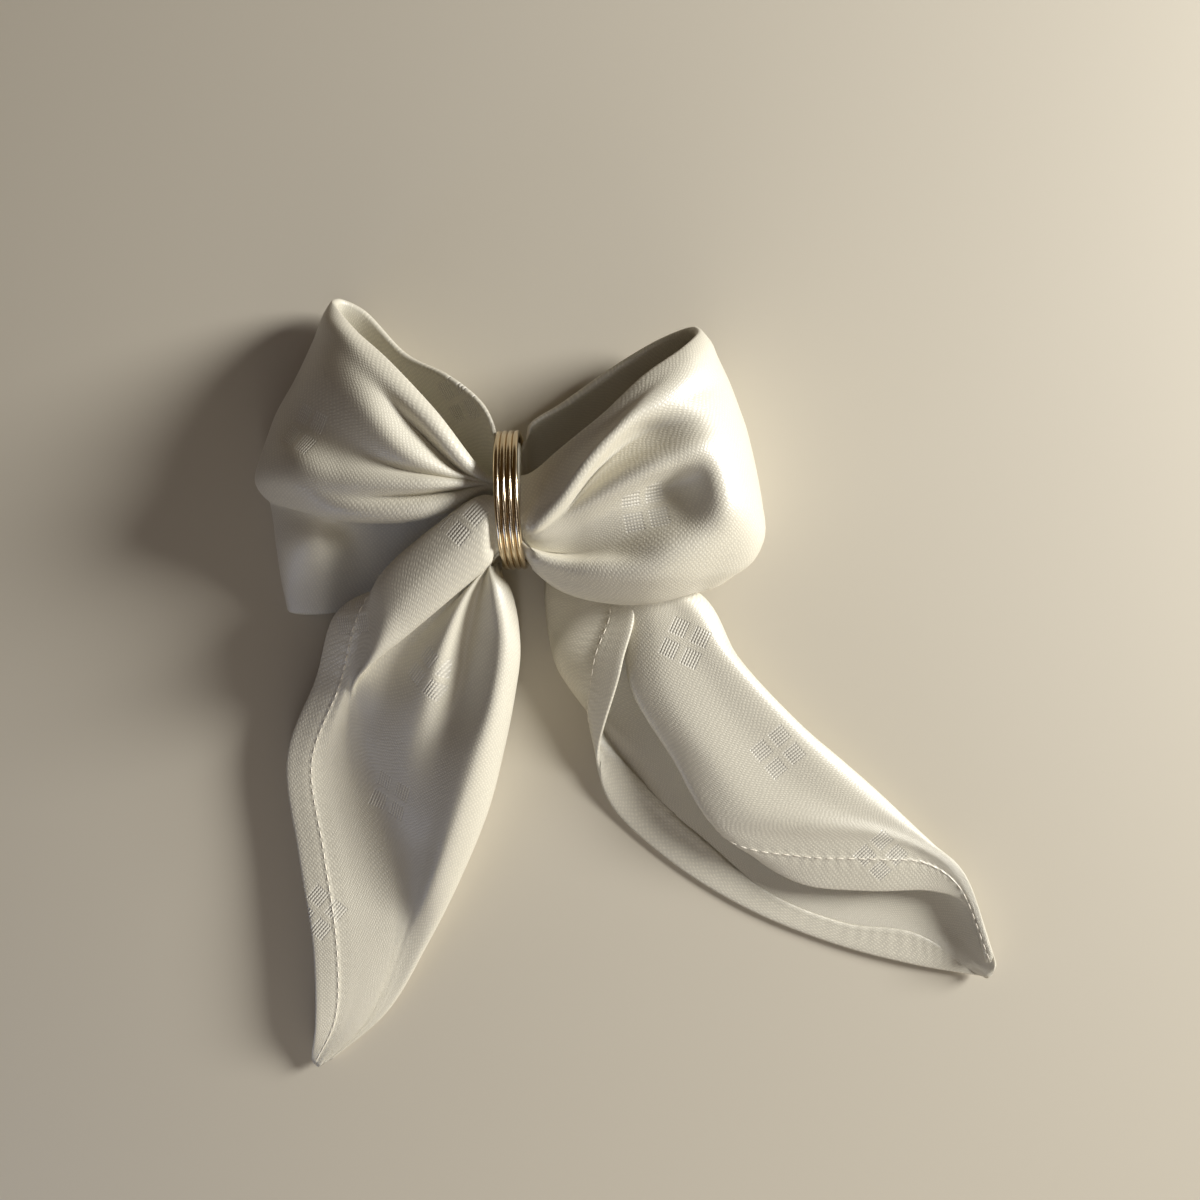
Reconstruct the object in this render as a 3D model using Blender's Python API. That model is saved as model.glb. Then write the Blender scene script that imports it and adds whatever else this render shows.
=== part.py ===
"""Damask napkin tied as a bow through an upright ring of four fine wires.

One square napkin, folded corner to corner and then into a band, runs out of the ring, round the
right loop, back through the ring, round the left loop and through the ring once more, so its two
corners hang down as tails. The cloth is one solid, the ring another. Everything is in millimetres
until the meshes are made, seen from above with the ring's foot at 0, 0, 0: x to the right, y up the
table, z height. The whole is then moved so that its origin is under the middle of its box.
"""

import math

import bmesh
import bpy
import numpy as np

MM = 0.001

# Cloth: a 450 mm napkin. The band through the loops is eight layers of 0.3 mm pressed together, the
# tails are two separate leaves, each with its turned hem.
BAND_THICK = 2.4
LEAF_THICK = 1.2
SHEET_GRID = 1.6
FUSE_STEP = 0.7
FUSED_FACES = 11000
REST_FLAT = 0.35

# The gathers are pressed thin in the ring and reach their full thickness a little way out of it.
PRESSED_SHARE = 0.45
PRESSED_TO = 9.0
LOOSE_FROM = 24.0

# Ring: four round wires side by side, upright, turned a little from the bow's own axis.
WIRES = 4
WIRE_RADIUS = 0.9
WIRE_PITCH = 1.7
HOOP_RADIUS = 19.4
RING_TURN = math.radians(2.6)
RING_AT = (0.7, 0.0, 20.3)
RING_STEPS = 72
WIRE_STEPS = 5

# Waist: the gathered cloth inside the ring.
WAIST_RADIUS = 17.2
WAIST_HALF = 3.0
BORE_CLEAR = 17.8
BORE_HALF = 4.3
PAST_WIRES = 22.0

# Gap kept round the wires.
WIRES_HALF = 3.8
WIRES_INSIDE = 18.15
WIRES_OUTSIDE = 20.75

CLOTH = {"colour": (0.80, 0.75, 0.64, 1.0), "rough": 0.55, "metal": 0.0}
GILT = {"colour": (0.78, 0.66, 0.46, 1.0), "rough": 0.16, "metal": 1.0}

# Each table holds the folds of one panel, a row for each fold line. "fold" names the columns, the
# stations that every fold line passes, and a cell is that point's x, y and height. Loop fronts start in the
# ring and end where the loop turns over. Loop backs go on from there and return to the ring.
LEFT_LOOP_FRONT = {
    "fold": ("ring", "exit", "near", "middle", "far", "shoulder", "turn"),
    "upper edge": ((0, 3, 27), (-5, 5, 31), (-8.5, 8.5, 34), (-18.5, 20.5, 36), (-33, 36.5, 33),
        (-46, 49, 24), (-53.5, 59.5, 13)),
    "rim": ((0, 2.5, 28), (-5.5, 4.5, 32), (-10, 7.5, 35.5), (-20, 19, 38), (-35, 34.5, 35),
        (-47.5, 48, 26), (-55, 55.5, 15)),
    "trough": ((0, 2, 27), (-6, 4, 29.5), (-13, 7.5, 30.5), (-24, 18, 34), (-36.5, 30.5, 36),
        (-49, 42.5, 27.5), (-58, 47.5, 16)),
    "crest": ((0, 1.5, 28), (-6, 3.5, 31), (-15.5, 6, 35), (-26.5, 11.5, 39), (-38, 22.5, 38),
        (-51.5, 33.5, 29.5), (-63, 35.5, 16.5)),
    "slope": ((0, 1, 27.5), (-6, 3.5, 29.5), (-18, 5, 33), (-31.5, 7.5, 35), (-44.5, 13, 34),
        (-57.5, 19, 28.5), (-68.5, 25.5, 16.5)),
    "pleat": ((0, 0.5, 28), (-5.5, 3, 31), (-15, 3, 36), (-28.5, 3, 37.5), (-44.5, 4.5, 36),
        (-57.5, 9, 33), (-72, 16, 17)),
    "crease": ((0, 0, 27), (-5.5, 3, 29), (-16.5, 1.5, 30.5), (-27.5, 0, 32.5), (-45, 0.5, 34),
        (-60, 4.5, 31.5), (-74.5, 9, 16.5)),
    "lower roll": ((0, -0.5, 28), (-5, 2.5, 30.5), (-15, -1, 33.5), (-26, -3.5, 35), (-44.5, -3.5, 33),
        (-59.5, 1, 28.5), (-75.5, 6, 14.5)),
    "lip": ((0, -1, 26), (-5, 2.5, 29), (-16.5, -3.5, 31), (-27.5, -6, 31.5), (-45.5, -6, 29.5),
        (-59, -2.5, 25), (-74.5, 3, 13)),
    "tuck": ((0, -1.5, 23), (-5.5, 3, 25), (-17.5, -1.5, 26), (-28.5, -3.5, 26), (-47, -3.5, 24),
        (-59.5, -2, 21.5), (-72.5, 1, 11.5)),
    "under lip": ((0, -3, 20), (-6, 2, 21), (-17, -3.5, 19.5), (-29.5, -5.5, 18), (-47, -5.5, 17.5),
        (-58, -5, 20.5), (-71, -3, 12)),
    "lower panel": ((0, -6, 17), (-6.5, -2.5, 17), (-17, -10.5, 14), (-29.5, -14.5, 12),
        (-46, -14, 12.5), (-58.5, -11.5, 19.5), (-70, -13, 11.5)),
    "lower fall": ((0, -9, 14), (-6, -8, 13.5), (-17, -17.5, 10.5), (-32, -23, 8.5), (-48.5, -24.5, 8),
        (-60.5, -23, 11), (-70, -23.5, 7.5)),
    "lower edge": ((0, -11, 11), (-6, -12.5, 10.5), (-18.5, -24.5, 7.5), (-34, -29, 6),
        (-51, -31.5, 5.5), (-62.5, -32.5, 5.5), (-69.5, -31.5, 4)),
}

LEFT_LOOP_BACK = {
    "fold": ("turned", "far", "middle", "near", "exit", "waist", "ring"),
    "upper edge": ((-53, 62, 8), (-47.5, 59.5, 5.5), (-33.5, 45.5, 8), (-19, 37, 15), (-8, 27.5, 20),
        (-1.5, 14.5, 22), (2, 13, 22)),
    "upper back": ((-60.5, 49, 3), (-51.5, 48.5, 1.5), (-36, 36.5, 3), (-21, 27.5, 9), (-9.5, 18.5, 15),
        (-1.5, 10, 17), (2, 9, 17)),
    "middle": ((-73, 18, 2), (-58.5, 18, 1), (-39.5, 14, 1), (-23.5, 10, 3), (-11, 6, 8), (-1.5, 2, 11),
        (2, 2, 11)),
    "lower back": ((-71, -12, 1.5), (-57, -10.5, 1), (-39.5, -8.5, 1), (-24, -7, 2), (-11.5, -7, 6),
        (-1.5, -6, 9), (2, -5, 9)),
    "lower edge": ((-68, -29, 1), (-57, -28.5, 1), (-39.5, -24.5, 1), (-24, -19, 1.5), (-11, -15.5, 4.5),
        (-1.5, -11, 8.5), (2, -10, 8.5)),
}

RIGHT_LOOP_FRONT = {
    "fold": ("ring", "exit", "near", "middle", "far", "shoulder", "turn"),
    "upper edge": ((0, 5, 30), (6.5, 6, 31.5), (15.5, 12, 34.5), (27.5, 20.5, 38), (38.5, 31.5, 37.5),
        (49, 40, 32), (55, 48, 21)),
    "rim": ((0, 4, 31), (7, 4, 33.5), (17, 9, 36.5), (29, 18, 40), (40.5, 28.5, 39.5), (51, 37.5, 34),
        (57.5, 45, 22)),
    "rim fall": ((0, -1, 32), (7, -3, 36.5), (16, 2.5, 40), (26.5, 12.5, 43), (38.5, 24, 42),
        (51.5, 32, 36.5), (59, 40, 23)),
    "ridge": ((0, -6, 34), (7, -9.5, 38), (15, -3.5, 41.5), (23.5, 7.5, 44), (34, 18.5, 43.5),
        (49, 26, 38.5), (61, 34, 24)),
    "ridge lip": ((0, -6.5, 32), (7, -10, 36), (15.5, -4, 39.5), (24, 7.5, 41), (35.5, 18.5, 40.5),
        (50.5, 24, 38.5), (62, 31.5, 24)),
    "pocket": ((0, -7, 31), (7, -10.5, 34), (16, -4.5, 37), (25, 7, 36), (37.5, 17, 36), (52.5, 21, 38),
        (63.5, 28.5, 24)),
    "pocket rise": ((0, -7, 31), (7, -11, 33.5), (16.5, -5, 36.5), (28.5, 5.5, 36.5), (40.5, 12.5, 37.5),
        (54.5, 17, 38.5), (65, 23, 24)),
    "third crest": ((0, -7.5, 31), (7, -11.5, 33), (17.5, -5.5, 36), (32, 3, 40.5), (44, 8.5, 42),
        (55.5, 13, 40), (67, 17.5, 24)),
    "dent": ((0, -8, 30.5), (7.5, -12.5, 32), (19.5, -8.5, 32.5), (33, -2, 34), (46.5, 3.5, 32.5),
        (58, 5, 39), (69.5, 6, 24)),
    "fall": ((0, -8.5, 30), (7.5, -13.5, 31), (19, -12.5, 30.5), (33.5, -9.5, 32.5), (48.5, -6, 34),
        (60.5, -5, 38), (72, -4, 23)),
    "trough": ((0, -9, 29), (7, -14.5, 30), (17, -16.5, 29), (29.5, -16, 32), (46, -15, 37),
        (60, -12.5, 33.5), (73, -10.5, 20.5)),
    "lip": ((0, -9.5, 31), (7, -16, 33.5), (17, -19, 34), (29, -20, 35.5), (44, -20.5, 35.5),
        (57.5, -19, 29.5), (70.5, -17, 18.5)),
    "lower roll": ((0, -11, 30), (7.5, -18, 32), (16.5, -22.5, 31), (29.5, -25, 31.5), (42, -24.5, 31.5),
        (55, -22.5, 27), (66, -20, 18)),
    "bottom": ((0, -12, 27), (7.5, -20, 28.5), (15.5, -25.5, 26.5), (30, -29, 25), (40.5, -29, 23.5),
        (52.5, -26, 19), (60.5, -23.5, 12.5)),
    "turned under": ((0, -11, 22), (7, -19, 23.5), (15, -24, 21), (30, -26.5, 19.5), (40.5, -26, 18),
        (51, -23, 14), (56, -20, 8.5)),
}

RIGHT_LOOP_BACK = {
    "fold": ("turned", "far", "middle", "near", "exit", "waist", "ring"),
    "upper edge": ((53.5, 51, 15), (44.5, 49, 10), (30, 41, 7), (15.5, 30.5, 9), (5.5, 22.5, 15),
        (3, 14.5, 19), (-1, 13, 19)),
    "upper back": ((61, 40.5, 5), (46.5, 38, 2.5), (29.5, 31, 1.5), (15.5, 24, 3.5), (5, 17.5, 9),
        (3, 9, 12), (-1, 8, 12)),
    "middle": ((69.5, 18, 2), (51.5, 17.5, 1), (31, 15, 1), (17, 12.5, 1.5), (6, 9, 4), (3, 2, 7),
        (-1, 2, 7)),
    "lower back": ((68.5, -7, 1.5), (51.5, -6.5, 1), (31, -4, 1), (17, -1.5, 1), (6, 0, 3.5), (3, -4, 6),
        (-1, -4, 6)),
    "lower edge": ((55.5, -17, 2), (45, -16.5, 1), (30, -14.5, 1), (17, -10.5, 1), (6, -7.5, 3.5),
        (3, -8, 6), (-1, -8, 6)),
}

LEFT_TAIL = {
    "fold": ("ring", "exit", "crossing", "band", "corner", "knee", "upper", "middle", "lower", "end", "tip"),
    "hem edge": ((0, -3, 33), (-5.5, -3.5, 31.5), (-17.5, -12.5, 29), (-33, -24, 25), (-50, -32.5, 21),
        (-58.5, -52.5, 13.5), (-68.5, -77, 9), (-65, -107.5, 8.5), (-60.5, -134, 10), (-60.5, -158, 8.5),
        (-63, -171.5, 3.5)),
    "stitching": ((0, -2, 35), (-6, -1.5, 34.5), (-19, -10, 32), (-35.5, -23, 27.5), (-43.5, -34.5, 25),
        (-50.5, -54, 16), (-61.5, -78.5, 9), (-58, -106, 9), (-54, -134, 9.5), (-54.5, -156.5, 8),
        (-62.5, -173, 3.5)),
    "band turn": ((0, -2, 36.5), (-6, -0.5, 36.5), (-19.5, -9, 34.5), (-36.5, -23.5, 30), (-40, -33, 27),
        (-49.5, -55, 16.5), (-59, -79, 8.5), (-55, -105.5, 8.5), (-50.5, -134, 9), (-53, -157, 7.5),
        (-62, -174, 3.5)),
    "band crest": ((0, -6, 37), (-5, -8, 38), (-17, -18, 36.5), (-30, -31, 33), (-37.5, -40.5, 29),
        (-49, -57, 15.5), (-55, -79.5, 7.5), (-50.5, -105, 7.5), (-46.5, -133.5, 8.5), (-51, -157, 7),
        (-61.5, -174, 3.5)),
    "band lip": ((0, -12, 33), (-4, -18.5, 32.5), (-16, -29, 31), (-28.5, -39, 28), (-41, -48.5, 25),
        (-48.5, -58.5, 14), (-51, -80, 7), (-45, -104.5, 7), (-42.5, -132.5, 8), (-49, -158, 6.5),
        (-61, -174, 3)),
    "band tuck": ((0, -12, 30), (-4.5, -17.5, 28.5), (-18, -27.5, 26), (-31, -37, 23.5),
        (-43.5, -48, 20.5), (-48, -60.5, 12.5), (-48.5, -80, 7), (-40, -104.5, 7), (-39, -132, 7.5),
        (-47.5, -158, 6), (-60.5, -173.5, 3)),
    "inner fall": ((0, -12.5, 28), (-5, -18.5, 26.5), (-17, -30.5, 23.5), (-29, -41.5, 20),
        (-38.5, -56.5, 16), (-44.5, -66.5, 11), (-43, -81.5, 8), (-36.5, -105, 7.5), (-36.5, -131, 7),
        (-46, -158.5, 5.5), (-60, -173.5, 3)),
    "ridge": ((0, -13, 29), (-5, -18.5, 29), (-12.5, -28.5, 29), (-19.5, -45, 26), (-24, -60, 21.5),
        (-30.5, -74.5, 16), (-33, -89.5, 11.5), (-31, -106, 9), (-34.5, -130.5, 6.5), (-45.5, -158, 5),
        (-60, -173, 3)),
    "trough": ((0, -13.5, 28), (-5, -18.5, 27), (-8.5, -26, 25), (-12.5, -41, 20.5), (-15, -58.5, 18.5),
        (-20.5, -74, 18), (-24, -90.5, 15.5), (-27, -108.5, 11), (-33, -129.5, 6.5), (-44, -157.5, 4.5),
        (-59.5, -173, 3)),
    "right crest": ((0, -14, 28), (-5, -18.5, 28.5), (-3.5, -25.5, 30), (-1.5, -40.5, 28),
        (-4, -57.5, 26), (-9, -74.5, 23.5), (-15, -91.5, 19.5), (-23.5, -112.5, 13.5),
        (-31.5, -131, 6.5), (-42.5, -156.5, 4), (-58.5, -172.5, 3)),
    "right edge": ((0, -14, 26), (-5, -19, 25.5), (0, -25.5, 25), (2.5, -42, 21.5), (0.5, -57.5, 18.5),
        (-3, -74.5, 15.5), (-8, -93, 12.5), (-17.5, -116, 9), (-27.5, -136, 5), (-40, -157, 3),
        (-57.5, -172, 3)),
    "turned under": ((0, -13, 24), (-5, -18, 22), (-2, -25.5, 19.5), (-0.5, -42.5, 14), (-3, -59.5, 9),
        (-7, -76.5, 5.5), (-12.5, -94.5, 3), (-21.5, -116.5, 1.5), (-31.5, -135, 1), (-43, -156, 1),
        (-58.5, -173, 0.5)),
    "under": ((0, -12, 23), (-5, -17.5, 21), (-12, -26.5, 18), (-17.5, -42.5, 13), (-24.5, -61.5, 6.5),
        (-31.5, -77.5, 2.5), (-37, -92, 1), (-40, -112.5, 0.5), (-44.5, -134.5, 0.5),
        (-52.5, -157.5, 0.5), (-61, -173.5, 0.5)),
    "under hem": ((0, -10, 24), (-6.5, -15.5, 22.5), (-18.5, -26, 20), (-32, -37, 17), (-44, -49.5, 14),
        (-52, -63.5, 8), (-62, -82.5, 2), (-63.5, -109, 1), (-59.5, -136, 0.5), (-59.5, -160.5, 0.5),
        (-63, -173.5, 0.5)),
}

RIGHT_TAIL = {
    "fold": ("ring", "exit", "loop edge", "flap", "twist", "upper", "middle", "lower", "far", "end", "tip"),
    "top hem edge": ((0, -6, 15), (14, -17, 13), (38.5, -33, 8.5), (44.5, -60.5, 7), (56.5, -81.5, 6),
        (72.5, -106.5, 5.5), (88, -116, 6), (109.5, -118, 6), (128.5, -118.5, 6), (138, -121.5, 6.5),
        (145.5, -140.5, 7)),
    "top stitching": ((0, -6, 16), (13, -17.5, 14.5), (34, -31.5, 10), (40, -58.5, 8.5),
        (51.5, -79.5, 8), (65.5, -102, 8), (87.5, -107, 8.5), (109, -108, 8.5), (126.5, -110, 7),
        (136.5, -117, 7.5), (146, -140, 7)),
    "left roll": ((0, -6, 18), (12, -18, 16), (30, -30.5, 12.5), (36.5, -57.5, 11.5),
        (47.5, -75.5, 10.5), (62, -97, 10), (85.5, -102, 9.5), (108, -103, 9), (124, -106.5, 8),
        (136, -114.5, 7.5), (146, -140, 7.5)),
    "top crest": ((0, -6.5, 19), (14, -17.5, 17), (38, -29.5, 15), (44, -55, 15), (57.5, -76, 13.5),
        (71.5, -93, 12), (88, -97, 11.5), (108.5, -99.5, 10.5), (123.5, -104, 8.5), (136, -113, 8),
        (146, -139.5, 7.5)),
    "top middle": ((0, -7.5, 19), (15, -16, 16.5), (46, -29, 15.5), (56, -49.5, 15), (72, -72, 13),
        (85, -85, 11.5), (99, -93, 10.5), (112.5, -98, 9.5), (124.5, -103.5, 8), (137, -112, 8),
        (146.5, -139, 7.5)),
    "right crest": ((0, -8, 18), (16, -15, 15), (51, -28, 15), (63.5, -44.5, 15), (81.5, -64.5, 13),
        (95, -78, 11.5), (106.5, -88.5, 10), (117, -96, 9), (126.5, -103, 8), (137, -112.5, 7.5),
        (146.5, -138.5, 7.5)),
    "right edge": ((0, -8, 16), (17, -14, 13), (56.5, -27.5, 11), (68.5, -47.5, 9.5), (87.5, -68, 8.5),
        (101, -79.5, 8), (112, -89, 7.5), (122, -98.5, 6.5), (131, -108, 5.5), (140.5, -121.5, 6),
        (147.5, -140.5, 6.5)),
    "turned under": ((0, -8, 13), (16.5, -14, 10), (54, -28.5, 7), (66.5, -49, 5), (85, -70.5, 4),
        (99.5, -82.5, 3), (110.5, -92.5, 2.5), (120.5, -102.5, 2.5), (129, -112, 2.5), (141, -125, 3.5),
        (148, -142.5, 6)),
    "under right": ((0, -9, 10), (14.5, -15.5, 8), (48.5, -30.5, 5), (57.5, -57, 2), (75, -79.5, 1),
        (89, -93.5, 1), (102, -104, 1), (113.5, -112.5, 1), (123.5, -121, 1), (136.5, -131, 2),
        (148, -144.5, 5)),
    "under middle": ((0, -9.5, 10), (13.5, -17, 8), (41, -33, 4.5), (48, -60.5, 1), (62.5, -82.5, 0.5),
        (75.5, -100, 0.5), (90.5, -113.5, 0.5), (104.5, -121, 1), (117, -127, 1), (132.5, -134.5, 2),
        (147, -146, 4)),
    "under left": ((0, -10, 10.5), (11, -17.5, 8.5), (21.5, -34, 3.5), (35.5, -57.5, 1),
        (46.5, -78, 0.5), (59.5, -96.5, 0.5), (76, -111.5, 0.5), (93, -123.5, 0.5), (110.5, -130, 1),
        (130, -137, 1.5), (146.5, -146.5, 3)),
    "flap turn": ((0, -10, 11.5), (9, -19, 10.5), (9.5, -29, 8), (14, -50, 3.5), (39, -77, 1),
        (52, -95, 0.5), (69.5, -111.5, 0.5), (88, -125, 0.5), (108, -132, 1), (129, -138.5, 1.5),
        (146, -146.5, 2.5)),
    "flap": ((0, -9.5, 13), (11.5, -17.5, 12.5), (19, -30, 12), (13, -46, 8.5), (30, -73.5, 1),
        (44.5, -92, 1), (62.5, -110, 0.5), (83.5, -126, 0.5), (105.5, -134, 1), (127.5, -139.5, 1.5),
        (146, -146, 2.5)),
    "under stitching": ((0, -9, 14), (13, -17, 14), (27.5, -30, 12.5), (22.5, -48, 12), (24, -68, 5),
        (40.5, -87.5, 1), (59, -104.5, 1), (79.5, -121, 1), (103.5, -130.5, 1), (125, -133.5, 1.5),
        (145.5, -146, 2)),
    "under hem edge": ((0, -8.5, 15), (15, -16.5, 15), (35, -29.5, 14), (32, -48.5, 15), (25.5, -78, 5),
        (30.5, -93, 1.5), (49, -110.5, 1), (73.5, -126, 1), (101, -136.5, 1), (125, -143, 1.5),
        (145.5, -146, 2)),
}


def clear_scene():
    for obj in list(bpy.data.objects):
        bpy.data.objects.remove(obj, do_unlink=True)


def curve_through(marks, points, wanted):
    """Smooth curve through points placed at marks along it, read at the wanted marks."""
    gaps = np.diff(marks)
    slopes = np.diff(points, axis=0) / gaps[:, None]
    tangents = np.empty_like(points)
    tangents[0] = slopes[0]
    tangents[-1] = slopes[-1]
    share = (gaps[1:] / (gaps[:-1] + gaps[1:]))[:, None]
    tangents[1:-1] = slopes[:-1] * share + slopes[1:] * (1.0 - share)
    index = np.clip(np.searchsorted(marks, wanted, side="right") - 1, 0, len(marks) - 2)
    gap = gaps[index][:, None]
    t = (wanted - marks[index])[:, None] / gap
    start = (2 * t**3 - 3 * t**2 + 1) * points[index] + (t**3 - 2 * t**2 + t) * gap * tangents[index]
    end = (3 * t**2 - 2 * t**3) * points[index + 1] + (t**3 - t**2) * gap * tangents[index + 1]
    return start + end


def spread(lengths, counts):
    """Marks at the stations, and the finer marks between them."""
    marks = np.concatenate([[0.0], np.cumsum(np.sqrt(np.maximum(lengths, 0.05)))])
    finer = [np.linspace(marks[k], marks[k + 1], n, endpoint=False) for k, n in enumerate(counts)]
    return marks, np.concatenate(finer + [marks[-1:]])


def fold_rows(table):
    return np.array([points for name, points in table.items() if name != "fold"], float)


def loop_rows(front, back):
    """Front fold lines carried round the turn and back to the ring.

    The back is smoother than the front, so its few rows are shared out by how far across the turn
    each front fold line lies.
    """
    front_rows = fold_rows(front)
    back_rows = fold_rows(back)
    turn = front_rows[:, -1]
    across = np.concatenate([[0.0], np.cumsum(np.linalg.norm(np.diff(turn, axis=0), axis=1))])
    start = back_rows[:, 0]
    marks = np.concatenate([[0.0], np.cumsum(np.linalg.norm(np.diff(start, axis=0), axis=1))])
    wanted = across / across[-1] * marks[-1]
    carried = [curve_through(marks, back_rows[:, k], wanted) for k in range(back_rows.shape[1])]
    return np.concatenate([front_rows, np.stack(carried, axis=1)], axis=1)


def sheet_grid(rows, spacing):
    """Middle surface of the cloth, as a grid of points along and across the folds."""
    lengths = np.linalg.norm(np.diff(rows, axis=1), axis=2)
    counts = np.maximum(1, np.round(lengths.mean(axis=0) / spacing)).astype(int)
    lines = []
    for line, line_lengths in zip(rows, lengths):
        marks, wanted = spread(line_lengths, counts)
        lines.append(curve_through(marks, line, wanted))
    lines = np.array(lines)
    lengths = np.linalg.norm(np.diff(lines, axis=0), axis=2)
    counts = np.maximum(1, np.round(np.percentile(lengths, 80, axis=1) / spacing)).astype(int)
    grid = []
    for k in range(lines.shape[1]):
        marks, wanted = spread(lengths[:, k], counts)
        grid.append(curve_through(marks, lines[:, k], wanted))
    return np.array(grid)


def ring_frame(points):
    """Distance along the ring's axis, then the two distances from it."""
    c, s = math.cos(RING_TURN), math.sin(RING_TURN)
    x = points[..., 0] - RING_AT[0]
    y = points[..., 1] - RING_AT[1]
    return x * c + y * s, y * c - x * s, points[..., 2] - RING_AT[2]


def from_ring_frame(along, side, up):
    c, s = math.cos(RING_TURN), math.sin(RING_TURN)
    x = along * c - side * s + RING_AT[0]
    y = along * s + side * c + RING_AT[1]
    return np.stack([x, y, up + RING_AT[2]], axis=-1)


def squeeze(points):
    """Draws the cloth that enters the ring in to its bore, easing off beside the wires."""
    along, side, up = ring_frame(points)
    radius = np.hypot(side, up)
    beside = np.maximum(np.abs(along) - BORE_HALF, 0.0)
    bore = BORE_CLEAR + 1.6 * beside
    target = np.where((radius < PAST_WIRES) & (radius > bore), bore, radius)
    share = target / np.maximum(radius, 1e-6)
    return from_ring_frame(along, side * share, up * share)


def thicken(grid, thick):
    """Points and faces of a closed sheet, half its thickness to either side of the grid."""
    along = np.gradient(grid, axis=0)
    across = np.gradient(grid, axis=1)
    normals = np.cross(along, across)
    normals /= np.maximum(np.linalg.norm(normals, axis=2, keepdims=True), 1e-9)
    ring_along, ring_side, ring_up = ring_frame(grid)
    away = np.sqrt(ring_along**2 + (0.5 * np.hypot(ring_side, ring_up)) ** 2)
    drawn = np.clip((away - PRESSED_TO) / (LOOSE_FROM - PRESSED_TO), 0.0, 1.0)
    half = 0.5 * thick * (PRESSED_SHARE + (1.0 - PRESSED_SHARE) * drawn)[..., None]
    sides = []
    for sign in (1.0, -1.0):
        points = squeeze(grid + normals * half * sign)
        points[..., 2] = np.where(points[..., 2] < REST_FLAT, 0.0, points[..., 2])
        sides.append(points)
    n_s, n_t = grid.shape[:2]
    count = n_s * n_t
    first = np.arange(count).reshape(n_s, n_t)
    second = first + count
    faces = []
    for i in range(n_s - 1):
        for j in range(n_t - 1):
            faces.append((first[i, j], first[i + 1, j], first[i + 1, j + 1], first[i, j + 1]))
            faces.append((second[i, j], second[i, j + 1], second[i + 1, j + 1], second[i + 1, j]))
    border = [(i, 0) for i in range(n_s - 1)] + [(n_s - 1, j) for j in range(n_t - 1)]
    border += [(i, n_t - 1) for i in range(n_s - 1, 0, -1)] + [(0, j) for j in range(n_t - 1, 0, -1)]
    for here, there in zip(border, border[1:] + border[:1]):
        faces.append((first[there], first[here], second[here], second[there]))
    return np.concatenate([side.reshape(-1, 3) for side in sides]), faces


def add_object(name, points, faces, material):
    mesh = bpy.data.meshes.new(name)
    mesh.from_pydata([tuple(p) for p in np.asarray(points) * MM], [], [tuple(int(v) for v in f) for f in faces])
    bm = bmesh.new()
    bm.from_mesh(mesh)
    bmesh.ops.triangulate(bm, faces=[f for f in bm.faces if len(f.verts) > 3])
    if bm.calc_volume(signed=True) < 0.0:
        bmesh.ops.reverse_faces(bm, faces=bm.faces)
    bm.to_mesh(mesh)
    bm.free()
    mesh.materials.append(material)
    obj = bpy.data.objects.new(name, mesh)
    bpy.context.scene.collection.objects.link(obj)
    return obj


def make_material(name, look):
    material = bpy.data.materials.new(name)
    material.use_nodes = True
    shader = material.node_tree.nodes["Principled BSDF"]
    shader.inputs["Base Color"].default_value = look["colour"]
    shader.inputs["Roughness"].default_value = look["rough"]
    shader.inputs["Metallic"].default_value = look["metal"]
    return material


def waist_mesh():
    """Gathered cloth in the bore, a short barrel with rounded ends."""
    stations = ((-1.0, 0.80), (-0.86, 0.94), (-0.5, 1.0), (0.5, 1.0), (0.86, 0.94), (1.0, 0.80))
    steps = 32
    points = []
    for along, share in stations:
        for k in range(steps):
            angle = 2.0 * math.pi * (k + 0.5) / steps
            radius = WAIST_RADIUS * share
            points.append(from_ring_frame(np.array(along * WAIST_HALF), radius * math.cos(angle),
                                          radius * math.sin(angle)))
    faces = []
    for i in range(len(stations) - 1):
        for k in range(steps):
            a = i * steps + k
            b = i * steps + (k + 1) % steps
            faces.append((a, b, b + steps, a + steps))
    last = (len(stations) - 1) * steps
    faces.append(tuple(range(steps - 1, -1, -1)))
    faces.append(tuple(range(last, last + steps)))
    return np.array(points), faces


def ring_mesh():
    """Four round wires fused side by side: their outline, swept once round the hoop."""
    meet = math.acos(WIRE_PITCH / 2 / WIRE_RADIUS)
    outline = []
    for k in range(WIRES):
        centre = (k - (WIRES - 1) / 2) * WIRE_PITCH
        start = math.pi if k == 0 else math.pi - meet
        end = 0.0 if k == WIRES - 1 else meet
        angles = np.linspace(start, end, WIRE_STEPS)
        if k > 0:
            angles = angles[1:]
        outline += [(centre + WIRE_RADIUS * math.cos(a), WIRE_RADIUS * math.sin(a)) for a in angles]
    outline += [(x, -y) for x, y in outline[-2:0:-1]]
    points = []
    for step in range(RING_STEPS):
        angle = 2.0 * math.pi * (step + 0.5) / RING_STEPS
        for along, out in outline:
            radius = HOOP_RADIUS + out
            points.append(from_ring_frame(np.array(along), radius * math.cos(angle), radius * math.sin(angle)))
    size = len(outline)
    faces = []
    for step in range(RING_STEPS):
        other = (step + 1) % RING_STEPS
        for k in range(size):
            m = (k + 1) % size
            faces.append((step * size + k, other * size + k, other * size + m, step * size + m))
    return np.array(points), faces


def evaluated_mesh(obj):
    graph = bpy.context.evaluated_depsgraph_get()
    return bpy.data.meshes.new_from_object(obj.evaluated_get(graph), depsgraph=graph)


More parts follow.
